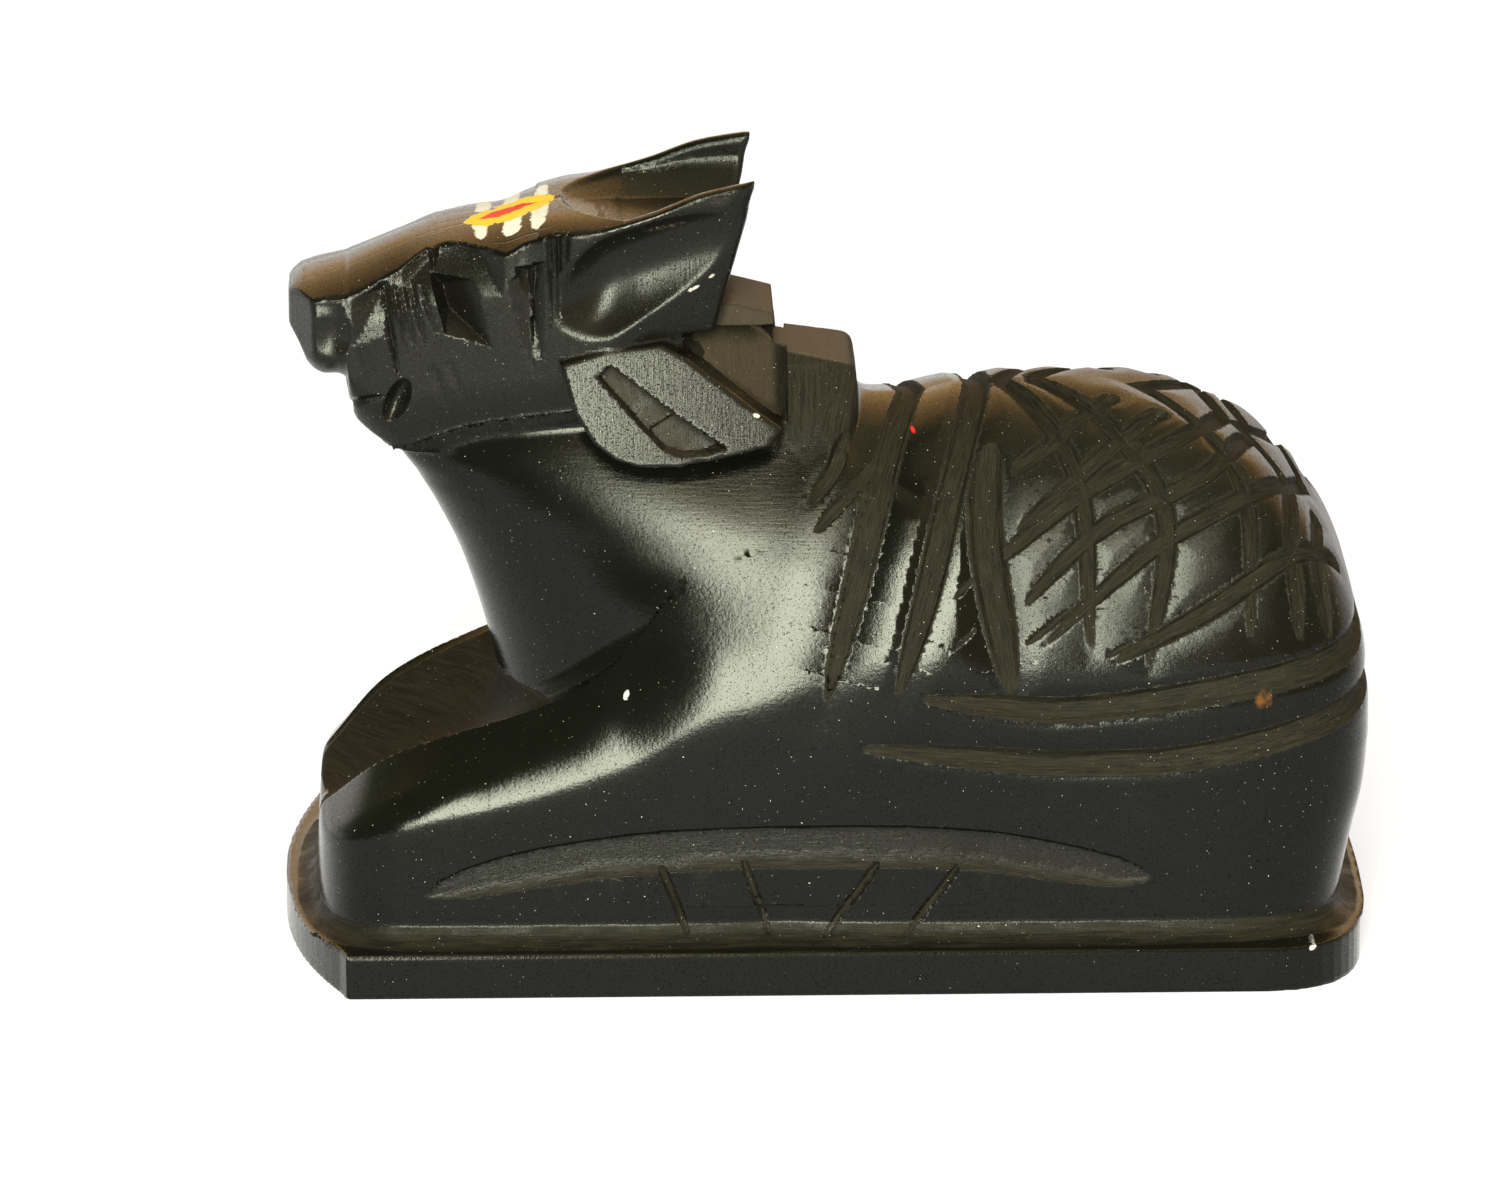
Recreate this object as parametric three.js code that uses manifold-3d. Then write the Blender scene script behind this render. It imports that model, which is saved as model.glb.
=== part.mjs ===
// Nandi, the seated bull, carved with its plinth from one piece of black stone.
// Millimetres, +Z up, the bull faces -X, and the origin is the middle of the underside.

import * as THREE from 'three';
import { mergeVertices } from 'three/addons/utils/BufferGeometryUtils.js';
import Module from 'manifold-3d';

const wasm = await Module();
wasm.setup();

// Driving dimensions
const LENGTH = 106.5; // from the front of the plinth to the back of the rump
const WIDTH = 50; // across the plinth
const HEIGHT = 78; // from the underside to the tips of the horns
const PLINTH_HEIGHT = 4.45;
const RUMP_OVERHANG = 0.9; // how far the rump reaches past the back of the plinth
const LEDGE = 3; // from the rim of the plinth in to the wall of the bull
const RIM = 0.8; // flat part of the ledge, outside the cove
const COVE_HEIGHT = 4.5;
const BOW_NEAR = 6.2; // how far the near front corner stands back from the bow
const BOW_FAR = 2.9;
const REAR_CORNER = 10; // the plinth's rear corners: length of the rounding along the side
const REAR_CORNER_DEPTH = 14; // and its length along the back
const FRONT_CHAMFER = 2; // small flat on the near front corner

// Cuts of the chisel
const STRAP_WIDTH = 2.4; // the hoops round the ribs
const STRAP_DEPTH = 1.3;
const NET_WIDTH = 2; // the crossing cords of the saddle cloth
const NET_DEPTH = 1.3;
const FLANK_WIDTH = 2.6; // the long leaf-shaped cuts low on the flank
const FLANK_DEPTH = 1.0;
const BELLY_WIDTH = 3.2;
const BELLY_DEPTH = 0.7;
const TICK_WIDTH = 0.9; // the short strokes of the folded hooves
const TICK_DEPTH = 0.45;
const FACE_WIDTH = 2; // nostril, mouth and muzzle cuts
const FACE_DEPTH = 0.9;
const EYE_RECESS = 0.8;
const GOUGE_RECESS = 1.2; // wedge-shaped cut behind the eye
const EAR_RECESS = 1.5;
const HORN_WALL = 1.6; // thickness of a horn's rim
const HOLLOW_DEPTH = 6.2; // hollow between the horns, below their tips
const CLEAR = 1.2; // how far a cutter stands out of the surface that it cuts

// The figure is drawn on a sheet of its own, and each point is stretched from the sheet
// to the space that the driving dimensions leave on the plinth.
const SHEET = { front: -50.25, rear: 53.25, half: 22, rim: 4.45, top: 77.5 };
const WALL_HALF = WIDTH / 2 - LEDGE;
const FRONT_WALL = LEDGE - LENGTH / 2;
const PLINTH_REAR = LENGTH / 2 - RUMP_OVERHANG;
const along = (x) => THREE.MathUtils.mapLinear(x, SHEET.front, SHEET.rear, FRONT_WALL, LENGTH / 2);
const across = (y) => (y * WALL_HALF) / SHEET.half;
const up = (z) => THREE.MathUtils.mapLinear(z, SHEET.rim, SHEET.top, PLINTH_HEIGHT, HEIGHT);
const spot = (x, y, z) => new THREE.Vector3(along(x), across(y), up(z));

// Smooth curves through the rows of a short table, whose first column is the place along it
function table(rows) {
  const places = rows.map((row) => row[0]);
  const values = rows.flatMap((row) => row.slice(1));
  const curve = new THREE.CubicInterpolant(places, values, rows[0].length - 1);
  return (place) => Array.from(curve.evaluate(place));
}

const steps = (from, to, count) =>
  Array.from({ length: count + 1 }, (_, k) => from + ((to - from) * k) / count);

const power = (value, exponent) => Math.sign(value) * Math.abs(value) ** exponent;

// A closed solid from a geometry whose faces meet edge to edge
const SAME_POINT = 1e-4;
function solid(geometry) {
  geometry.deleteAttribute('normal');
  geometry.deleteAttribute('uv');
  const merged = mergeVertices(geometry, SAME_POINT);
  const mesh = new wasm.Mesh({
    numProp: 3,
    vertProperties: new Float32Array(merged.attributes.position.array),
    triVerts: new Uint32Array(merged.index.array),
  });
  return new wasm.Manifold(mesh);
}

// A skin over rings of points, closed by a fan at each end
function loft(rings) {
  const count = rings[0].length;
  const points = rings.flat();
  const faces = [];
  for (let ring = 0; ring < rings.length - 1; ring += 1) {
    for (let k = 0; k < count; k += 1) {
      const here = ring * count + k;
      const next = ring * count + ((k + 1) % count);
      faces.push([here, next, next + count], [here, next + count, here + count]);
    }
  }
  for (const start of [0, (rings.length - 1) * count]) {
    const hub = points.length;
    const middle = new THREE.Vector3();
    rings[start / count].forEach((point) => middle.addScaledVector(point, 1 / count));
    points.push(middle);
    for (let k = 0; k < count; k += 1) {
      const pair = [start + k, start + ((k + 1) % count)];
      faces.push(start === 0 ? [hub, pair[1], pair[0]] : [hub, pair[0], pair[1]]);
    }
  }
  const volume = faces.reduce((sum, [a, b, c]) => {
    const normal = new THREE.Vector3().crossVectors(points[b], points[c]);
    return sum + points[a].dot(normal);
  }, 0);
  const index = faces.flatMap(([a, b, c]) => (volume > 0 ? [a, b, c] : [a, c, b]));
  const geometry = new THREE.BufferGeometry().setFromPoints(points);
  geometry.setIndex(index);
  return solid(geometry);
}

const joined = (solids) => solids.reduce((sum, one) => sum.add(one));

// Makes a form for the near side and again, mirrored, for the far side
const bothSides = (make) => [make(-1), make(1)];

// Plinth: square-edged slab with a bowed front and rounded rear corners
function plinth() {
  const half = WIDTH / 2;
  const front = -LENGTH / 2;
  const nearCorner = front + BOW_NEAR;
  const farCorner = front + BOW_FAR;
  const nearEnd = nearCorner - FRONT_CHAMFER / 3;
  const pull = (8 * front - farCorner - nearEnd) / 6;
  const shape = new THREE.Shape();
  shape.moveTo(nearCorner, -half);
  shape.lineTo(PLINTH_REAR - REAR_CORNER, -half);
  shape.quadraticCurveTo(PLINTH_REAR, -half, PLINTH_REAR, REAR_CORNER_DEPTH - half);
  shape.lineTo(PLINTH_REAR, half - REAR_CORNER_DEPTH);
  shape.quadraticCurveTo(PLINTH_REAR, half, PLINTH_REAR - REAR_CORNER, half);
  shape.lineTo(farCorner, half);
  shape.bezierCurveTo(pull, half / 3, pull, -half / 3, nearEnd, FRONT_CHAMFER - half);
  const slab = new THREE.ExtrudeGeometry(shape, {
    depth: PLINTH_HEIGHT,
    bevelEnabled: false,
    curveSegments: 8,
  });
  return solid(slab);
}

// A level outline: straight flanks between a rounded front and a rounded rump
function outline(level, { front, rear, half, frontTurn, rearTurn, bluntness }) {
  const points = [];
  for (const angle of steps(0, 2 * Math.PI, 24).slice(1)) {
    const back = Math.cos(angle) > 0;
    const pivot = back ? rearTurn : frontTurn;
    const reach = back ? rear - rearTurn : frontTurn - front;
    const round = 2 / (back ? bluntness[1] : bluntness[0]);
    const x = pivot + reach * power(Math.cos(angle), round);
    const y = half * power(Math.sin(angle), round);
    points.push(new THREE.Vector3(x, y, typeof level === 'function' ? level(x) : level));
  }
  return points;
}

// The lower body leans out behind as it rises, from this table of height and reach
const rumpReach = table([
  [4.45, 50.4],
  [9, 51.1],
  [13, 51.9],
  [17, 52.8],
  [22, 53.25],
]);
const bodyOutline = (grow, z) => ({
  front: FRONT_WALL - grow,
  rear: along(rumpReach(z)[0]) + grow,
  half: WALL_HALF + grow,
  frontTurn: along(-38),
  rearTurn: along(21),
  bluntness: [3.4, 5],
});

// Ledge cove and the straight wall above it, up to where the legs and the back begin
const WALL_TOP = 12.6;
const WALL_LEAN = 0.7; // how far the front wall leans back at its top, to meet the legs
function base() {
  const coveGrow = (t) => (LEDGE - RIM) * (1 - Math.sqrt(1 - (1 - t) ** 2));
  const sunk = outline(PLINTH_HEIGHT / 2, bodyOutline(LEDGE - RIM, SHEET.rim));
  const cove = [0, 0.12, 0.35, 0.65, 1].map((t) => {
    const sheetHeight = SHEET.rim + t * COVE_HEIGHT;
    return outline(PLINTH_HEIGHT + t * COVE_HEIGHT, bodyOutline(coveGrow(t), sheetHeight));
  });
  const top = bodyOutline(0, WALL_TOP);
  const wall = outline(up(WALL_TOP), { ...top, front: top.front + WALL_LEAN });
  return loft([sunk, ...cove, wall]);
}

// Barrel of the body: the back is a blunt superellipsoid that drops a little to the withers
const BARREL = { x: 21, z: 22, reach: 32.2, half: 21.9, top: 54.9, plan: 5, girth: 2.3 };
const backLine = (x) => BARREL.top - 1.3 * (Math.max(0, BARREL.x - x) / 17.4) ** 1.5;
function barrel() {
  const sheetPlace = (x) => THREE.MathUtils.mapLinear(x, FRONT_WALL, LENGTH / 2, SHEET.front, SHEET.rear);
  const ring = (level, share, z) => outline(level, {
    ...bodyOutline(0, z),
    half: share * across(BARREL.half),
    rear: along(BARREL.x + share * (rumpReach(z)[0] - BARREL.x)),
    front: along(-24),
    frontTurn: along(9),
    bluntness: [2.1 + 5 * share ** 12, BARREL.plan],
  });
  const rings = [WALL_TOP - 2, 17].map((z) => ring(up(z), 1, z));
  for (const turn of [...steps(0, 78, 6), 87]) {
    const angle = THREE.MathUtils.degToRad(turn);
    const rise = Math.sin(angle) ** (2 / BARREL.girth);
    const share = Math.cos(angle) ** (2 / BARREL.girth);
    const level = (x) => up(BARREL.z + rise * (backLine(sheetPlace(x)) - BARREL.z));
    rings.push(ring(level, share, BARREL.z));
  }
  return loft(rings);
}

// Neck and chest: level ovals that lean forward as they rise, with the hump's flat sides above
const neckForm = table([
  // height, front, half width, rear
  [12, -28, 21.4, 20],
  [20, -31, 21.8, 24],
  [30, -33.1, 20.6, 28],
  [38, -35.6, 19, 28],
  [43, -38, 16.7, 24],
  [46, -39.8, 14.9, 12],
  [50, -42, 11.9, 2.4],
  [54, -38, 8.8, 2.6],
  [58.3, -30, 5.4, 2.2],
]);
const HUMP_FOOT = 46; // above this height the back of the neck is cut square as the hump
function neck() {
  const heights = [12, 20, 27, 32, 36, 40, 43.5, 46, 48, 50, 54, 58.3];
  return loft(heights.map((z) => {
    const [front, half, rear] = neckForm(z);
    return outline(up(z), {
      front: along(front),
      rear: along(rear),
      half: across(half),
      frontTurn: along(z > HUMP_FOOT ? -14 : 0),
      rearTurn: along(z > HUMP_FOOT ? -4 : 6),
      bluntness: [2.15, z > HUMP_FOOT ? 6 : 2.3],
    });
  }));
}

// Forelegs folded forward, a ridge on each, and a shallow scoop between them up to the chest
const legForm = table([
  // place, ridge from the middle, ridge height, scoop height, wall height, half width
  [-50, 8.6, 14.2, 13.4, 11, 15],
  [-48.4, 9.8, 15.8, 14.4, 11.3, 18.6],
  [-44.3, 12.7, 19.8, 17.2, 12, 21.3],
  [-40, 14.3, 22.3, 19.8, 12.4, 22],
  [-33.8, 15.9, 24.7, 23, 13, 22],
  [-27, 17, 27.3, 26.5, 14, 22],
  [-21, 17.6, 30.6, 30.4, 16, 22],
  [-10, 17.2, 35, 35, 20, 22],
  [8, 16.6, 37, 37, 24, 22],
]);
const LEG_ROUND = 1.75; // fullness of the outer side of a leg
const LEG_FOOT = 9; // the legs start inside the wall, at this height
const TOE_START = -44; // forward of here the ends of the legs lean back
const TOE_LEAN = 0.12;
function forelegs() {
  const stations = [-50, -48.4, -46.5, -44.3, -42, -40, -37, -33.8, -30, -27, -21, -10, 8];
  return loft(stations.map((x) => {
    const [ridge, crest, scoop, wall, half] = legForm(x);
    const lean = x < TOE_START ? ((TOE_START - x) * TOE_LEAN) / 6 : 0;
    const profile = [[half, LEG_FOOT]];
    for (const turn of steps(0, 90, 5)) {
      const angle = THREE.MathUtils.degToRad(turn);
      const out = Math.cos(angle) ** (2 / LEG_ROUND);
      const rise = Math.sin(angle) ** (2 / LEG_ROUND);
      profile.push([ridge + (half - ridge) * out, wall + (crest - wall) * rise]);
    }
    for (const share of [0.8, 0.5]) {
      profile.push([ridge * share, scoop + (crest - scoop) * share ** 2]);
    }
    const place = (z) => x + (z - LEG_FOOT) * lean;
    const far = profile.map(([y, z]) => spot(place(z), y, z));
    const near = profile.map(([y, z]) => spot(place(z), -y, z)).reverse();
    return [...far, spot(place(scoop), 0, scoop), ...near];
  }));
}

// Head: cross-sections from the muzzle back to the tips of the horns
const headForm = table([
  // place, crown, crown half width, its drop to the edge, cheek half width, jaw, jaw half width
  [-52.2, 64.4, 4.2, 0.9, 4.9, 60.0, 3.8],
  [-51, 65.5, 7.2, 1.8, 7.6, 57.4, 5.4],
  [-49, 66.6, 8.4, 2.2, 8.8, 55.6, 6.2],
  [-46.8, 67.5, 8.8, 2.3, 9.1, 54.8, 6.4],
  [-46.2, 67.8, 8.7, 2.2, 9, 51.9, 6.3],
  [-44, 68.5, 7.6, 1.7, 8.7, 50.1, 6.4],
  [-41, 69.3, 6.7, 1.2, 8.6, 48.6, 6.8],
  [-37, 70.2, 6.6, 0.9, 9, 48.4, 7.2],
  [-34, 70.9, 7.2, 0.8, 9.4, 49.2, 7.6],
  [-31, 71.9, 9.6, 1.1, 10, 50, 8],
  [-26.8, 72.9, 10.7, 0.9, 10.6, 50, 8.4],
  [-22, 73.6, 11, 0.2, 11, 52, 8.6],
  [-17, 74.9, 11, 0, 11.3, 54, 8.8],
  [-12.4, 76.5, 10.8, 0, 11.5, 56, 9],
  [-6.7, 77.5, 10.2, 0, 11, 58, 9],
]);
const REAR_LEAN = 0.27; // the back of the horns leans forward as it goes down
const REAR_START = -20;
const HORN_TIP = -6.7;
function head() {
  const muzzle = [-52.2, -51, -49, -46.8, -46.2, -44];
  const stations = [...muzzle, -41, -37, -34, -31, -26.8, -22, -17, -12.4, HORN_TIP];
  return loft(stations.map((x) => {
    const [crown, top, drop, cheek, jaw, chin] = headForm(x);
    const lean = REAR_LEAN * Math.max(0, (x - REAR_START) / (HORN_TIP - REAR_START));
    const edge = crown - drop;
    const middle = (edge + jaw) / 2;
    const profile = [
      [chin * 0.55, jaw],
      [chin, jaw + 1.2],
      [cheek - 0.4, middle - 2.5],
      [cheek, middle + 2],
      [cheek + 0.2, edge - 2],
      [top, edge],
      [top * 0.6, crown - drop * 0.3],
    ];
    const place = (z) => x - (crown - z) * lean;
    const near = profile.map(([y, z]) => spot(place(z), -y, z));
    const far = profile.map(([y, z]) => spot(place(z), y, z)).reverse();
    return [...near, ...far];
  }));
}

// First step of the hump, close behind the head
function humpStep() {
  const section = ([x, top]) => {
    const near = [[12, 48], [9.5, 54], [5.2, top]];
    const far = near.map(([y, z]) => [-y, z]).reverse();
    return [...near, ...far].map(([y, z]) => spot(x, y, z));
  };
  return loft([[-26, 64.5], [-9, 63.9], [-5.1, 62.6]].map(section));
}

// Ear: a leaf-shaped plate that stands out from the neck, leaning out as it goes down
const earFace = (x, z) => 11.4 + (61 - z) * 0.4;
const EAR_OUTLINE = [
  [-25.7, 59.9], [-24, 55.6], [-21.8, 52.4], [-19.2, 50.5], [-13, 50.1], [-8, 50.6],
  [-4.4, 52.4], [-4, 53.6], [-8.2, 55.8], [-13.6, 60.8], [-17.5, 62], [-21, 61.2],
];
const RECESS_OUTLINE = [
  [-22, 58.2], [-20.6, 59.4], [-14, 54.6], [-9.4, 51.7], [-15.4, 51.4], [-17.2, 53.4],
];
function ear(side) {
  const inner = EAR_OUTLINE.map(([x, z]) => spot(x + 1, side * 6, z));
  const outer = EAR_OUTLINE.map(([x, z]) => spot(x, side * earFace(x, z), z));
  return loft([inner, outer]);
}

// A sunk field with a flat floor: an outline of places and heights, cut in from a face
function recess(shape, face, depth, side) {
  const floor = shape.map(([x, z]) => spot(x, side * face(x, z), z));
  floor.forEach((point) => point.setY(point.y - side * depth));
  const mouth = shape.map(([x, z]) => spot(x, side * (face(x, z) + CLEAR), z));
  return loft([floor, mouth]);
}

// Scoop under each horn's rim, hollowed along the head so that the rim flares out over it
const hornScoopForm = table([
  // place, height of its middle, how far in it cuts, radius
  [-26, 66.5, 0.2, 4.4],
  [-21, 67, 2.4, 5],
  [-15, 68.4, 3.4, 5.6],
  [-9, 69.6, 2.6, 6],
  [-2, 71, 1.8, 6.4],
]);
function hornScoop(side) {
  return loft(steps(-26, -2, 6).map((x) => {
    const [height, inward, radius] = hornScoopForm(x);
    const middle = headForm(Math.min(x, HORN_TIP))[3] - inward + radius;
    const round = steps(0, 2 * Math.PI, 12).slice(1);
    return round.map((angle) =>
      spot(x, side * (middle + radius * Math.cos(angle)), height + radius * Math.sin(angle)));
  }));
}

// Hollow between the horns, open to the back
const HOLLOW_START = -25.6;
function hornHollow() {
  const places = [-25, -23.6, -21, -16, -10, -2];
  return loft(places.map((x) => {
    const opening = Math.sqrt(Math.min(1, (x - HOLLOW_START) / 6));
    const [crown, top] = headForm(Math.min(x, HORN_TIP));
    const width = (across(top) - HORN_WALL) * opening;
    const floor = up(crown) - (up(crown) - (HEIGHT - HOLLOW_DEPTH)) * opening;
    const side = (floor + up(crown)) / 2;
    const section = [[width, HEIGHT + CLEAR], [width, side], [width * 0.75, floor]];
    const near = section.map(([y, z]) => new THREE.Vector3(along(x), -y, z));
    const far = section.map(([y, z]) => new THREE.Vector3(along(x), y, z)).reverse();
    return [...near, ...far];
  }));
}

// A chisel cut: a V with a narrow floor, swept through points on the skin and fading at its ends
const CUT_FLOOR = 0.35; // width of the floor as a share of the cut's width
const CUT_POINT = 0.08; // how small a fading end gets
function cut(points, normals, width, depth, fade = [1, 1]) {
  const count = points.length - 1;
  const rings = points.map((point, k) => {
    const travel = points[Math.min(k + 1, count)].clone().sub(points[Math.max(k - 1, 0)]).normalize();
    const normal = normals[k].clone().normalize();
    const sideways = new THREE.Vector3().crossVectors(travel, normal).normalize();
    const share = THREE.MathUtils.lerp(0.5 - 0.5 * fade[0], 0.5 + 0.5 * fade[1], k / count);
    const fullness = Math.max(CUT_POINT, Math.sin(Math.PI * share)) ** 0.5;
    const half = (width * fullness) / 2;
    const deep = depth * fullness;
    const floor = half * CUT_FLOOR;
    const spread = half + ((half - floor) * CLEAR) / deep;
    const at = (out, rise) => point.clone().addScaledVector(sideways, out).addScaledVector(normal, rise);
    return [at(-spread, CLEAR), at(spread, CLEAR), at(floor, -deep), at(-floor, -deep)];
  });
  return loft(rings);
}

// The barrel's skin: how far a sheet point lies outside it, the way out from there, and the
// point on it at an angle down from the spine, found by halving the distance from the middle
function skinTest(x, y, z) {
  const reach = Math.max(0, x - BARREL.x) / BARREL.reach;
  const side = Math.abs(y) / BARREL.half;
  const rise = Math.abs(z - BARREL.z) / (backLine(x) - BARREL.z);
  const plan = (reach ** BARREL.plan + side ** BARREL.plan) ** (BARREL.girth / BARREL.plan);
  return plan + (z > BARREL.z ? rise ** BARREL.girth : 0) - 1;
}
function wayOut(x, y, z) {
  const small = 0.05;
  const slope = (a, b) => (a - b) / (2 * small);
  return new THREE.Vector3(
    slope(skinTest(x + small, y, z), skinTest(x - small, y, z)),
    slope(skinTest(x, y + small, z), skinTest(x, y - small, z)),
    slope(skinTest(x, y, z + small), skinTest(x, y, z - small)),
  ).normalize();
}
function girthPoint(x, degrees, side) {
  const angle = THREE.MathUtils.degToRad(degrees);
  const direction = [Math.sin(angle) * BARREL.half * side, Math.cos(angle) * (backLine(x) - BARREL.z)];
  let inside = 0;
  let outside = 1.5;
  for (const _ of steps(1, 24, 23)) {
    const middle = (inside + outside) / 2;
    const beyond = skinTest(x, middle * direction[0], BARREL.z + middle * direction[1]) > 0;
    inside = beyond ? inside : middle;
    outside = beyond ? middle : outside;
  }
  return [x, inside * direction[0], BARREL.z + inside * direction[1]];
}

// Straps and net of the saddle cloth. Each cut runs through three places, and a place is the
// angle down from the spine and the distance along the body.
const STRAPS = [
  [[-3, 8.6], [48, 3.6], [80, -0.9]],
  [[-3, 15], [54, 10.1], [77, 6.4]],
  [[31, 15.7], [50, 15], [75, 17.3]],
];
const NET_BACK = [
  [[-3, 16.4], [32, 23.4], [70, 25]],
  [[2, 20.6], [38, 31.6], [73, 30.6]],
  [[-3, 30], [30, 39.3], [68, 40.5]],
  [[-3, 40], [34, 44.8], [68, 45.4]],
  [[27, 48], [50, 47.7], [67, 48.4]],
];
const NET_FORWARD = [
  [[38, 17.5], [26, 23.5], [14, 27.6]],
  [[50, 17.8], [34, 26], [19, 32.4]],
  [[61, 11.7], [37, 29], [-3, 39.6]],
  [[63, 18.2], [42, 31.6], [7, 41.6]],
  [[69, 20.6], [46, 37.2], [-3, 47.4]],
  [[72, 27.4], [61, 38.6], [44, 49.6]],
];
const FADE_DOWN = [0, 1];
const FADE_START = [1, 0];
function girthCut(stops, side, width, depth, fade) {
  const curve = new THREE.SplineCurve(stops.map(([degrees, x]) => new THREE.Vector2(degrees, x)));
  const places = curve.getPoints(6).map((place) => girthPoint(place.y, place.x, side));
  return cut(places.map((p) => spot(...p)), places.map((p) => wayOut(...p)), width, depth, fade);
}

// Leaf-shaped cuts that run low along the flank and meet behind the rump
const FLANK_SHARE = 0.4; // share of such a cut that lies on the straight flank
const FLANK_LAP = 4; // degrees by which the two sides run into each other behind
const roundRump = (share) => (share - FLANK_SHARE) / (1 - FLANK_SHARE);
function flankCut(heightAt, start, side) {
  const places = steps(0, 1, 10).map((share) => {
    const z = heightAt(share);
    const rise = Math.max(0, z - BARREL.z) / (BARREL.top - BARREL.z);
    const shrink = (1 - rise ** BARREL.girth) ** (1 / BARREL.girth);
    if (share < FLANK_SHARE) {
      const x = THREE.MathUtils.lerp(start, BARREL.x, share / FLANK_SHARE);
      return [x, side * BARREL.half * shrink, z];
    }
    const degrees = THREE.MathUtils.lerp(90, -FLANK_LAP, roundRump(share));
    const angle = THREE.MathUtils.degToRad(degrees);
    const corner = Math.cos(angle) ** BARREL.plan + Math.abs(Math.sin(angle)) ** BARREL.plan;
    const out = shrink / corner ** (1 / BARREL.plan);
    const x = BARREL.x + BARREL.reach * out * Math.cos(angle);
    return [x, side * BARREL.half * out * Math.sin(angle), z];
  });
  const points = places.map((p) => spot(...p));
  const normals = places.map((p) => wayOut(...p));
  return cut(points, normals, FLANK_WIDTH, FLANK_DEPTH, [1, 0.6]);
}
const flankHeight = (start, dip, lift, from, to) => (share) => {
  const rise = THREE.MathUtils.smoothstep(roundRump(share), from, to);
  return start - dip * Math.min(1, share / FLANK_SHARE) + lift * rise;
};
const upperFlank = flankHeight(28.9, 1.3, 6, 0, 0.8);
const lowerFlank = flankHeight(24, 1.7, 5.6, 0.15, 0.7);

// Cuts on a flat wall or cheek, drawn by place and height
function wallCut(stops, half, side, width, depth) {
  const curve = new THREE.SplineCurve(stops.map(([x, z]) => new THREE.Vector2(x, z)));
  const places = curve.getPoints(stops.length > 2 ? 8 : 2);
  const points = places.map((place) => spot(place.x, side * half(place.x), place.y));
  return cut(points, places.map(() => new THREE.Vector3(0, side, 0)), width, depth);
}
const BELLY_ARC = [[-39, 9.8], [-8, 15], [26, 10.6]];
const HOOF_TICKS = [
  [[-15.5, 11.2], [-13.4, 6.6]],
  [[-7.6, 11.8], [-5.4, 6.6]],
  [[4.6, 11.6], [1, 6.6]],
  [[13, 11], [8.8, 6.6]],
];
const FACE_CUTS = [
  [[-51.4, 62.6], [-49, 61.6]], // nostril
  [[-46.6, 54.6], [-43.4, 55.2], [-40.8, 53.2]], // mouth
  [[-42.4, 65.2], [-42.8, 63], [-41.6, 60.6]], // crease behind the muzzle
];
const EYE_OUTLINE = [[-38.4, 67], [-34, 66.8], [-32.4, 61], [-36.8, 62.2]];
const GOUGE_OUTLINE = [[-30.6, 69], [-27, 69], [-28.2, 59]];
const cheekAt = (x) => headForm(x)[3];
const cheekFace = (x) => cheekAt(x) + 0.1;
const wallAt = () => SHEET.half;

const stone = joined([
  plinth(),
  base(),
  barrel(),
  neck(),
  forelegs(),
  head(),
  humpStep(),
  ...bothSides(ear),
]);
const carving = joined([
  hornHollow(),
  ...bothSides((side) => joined([
    hornScoop(side),
    recess(RECESS_OUTLINE, earFace, EAR_RECESS, side),
    recess(EYE_OUTLINE, cheekFace, EYE_RECESS, side),
    recess(GOUGE_OUTLINE, cheekFace, GOUGE_RECESS, side),
    ...STRAPS.map((stops) => girthCut(stops, side, STRAP_WIDTH, STRAP_DEPTH, FADE_DOWN)),
    ...NET_BACK.map((stops) => girthCut(stops, side, NET_WIDTH, NET_DEPTH, FADE_DOWN)),
    ...NET_FORWARD.map((stops) => girthCut(stops, side, NET_WIDTH, NET_DEPTH, FADE_START)),
    flankCut(upperFlank, 8.6, side),
    flankCut(lowerFlank, 2.8, side),
    wallCut(BELLY_ARC, wallAt, side, BELLY_WIDTH, BELLY_DEPTH),
    ...HOOF_TICKS.map((stops) => wallCut(stops, wallAt, side, TICK_WIDTH, TICK_DEPTH)),
    ...FACE_CUTS.map((stops) => wallCut(stops, cheekAt, side, FACE_WIDTH, FACE_DEPTH)),
  ])),
]);
const carved = stone.subtract(carving).getMesh();

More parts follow.
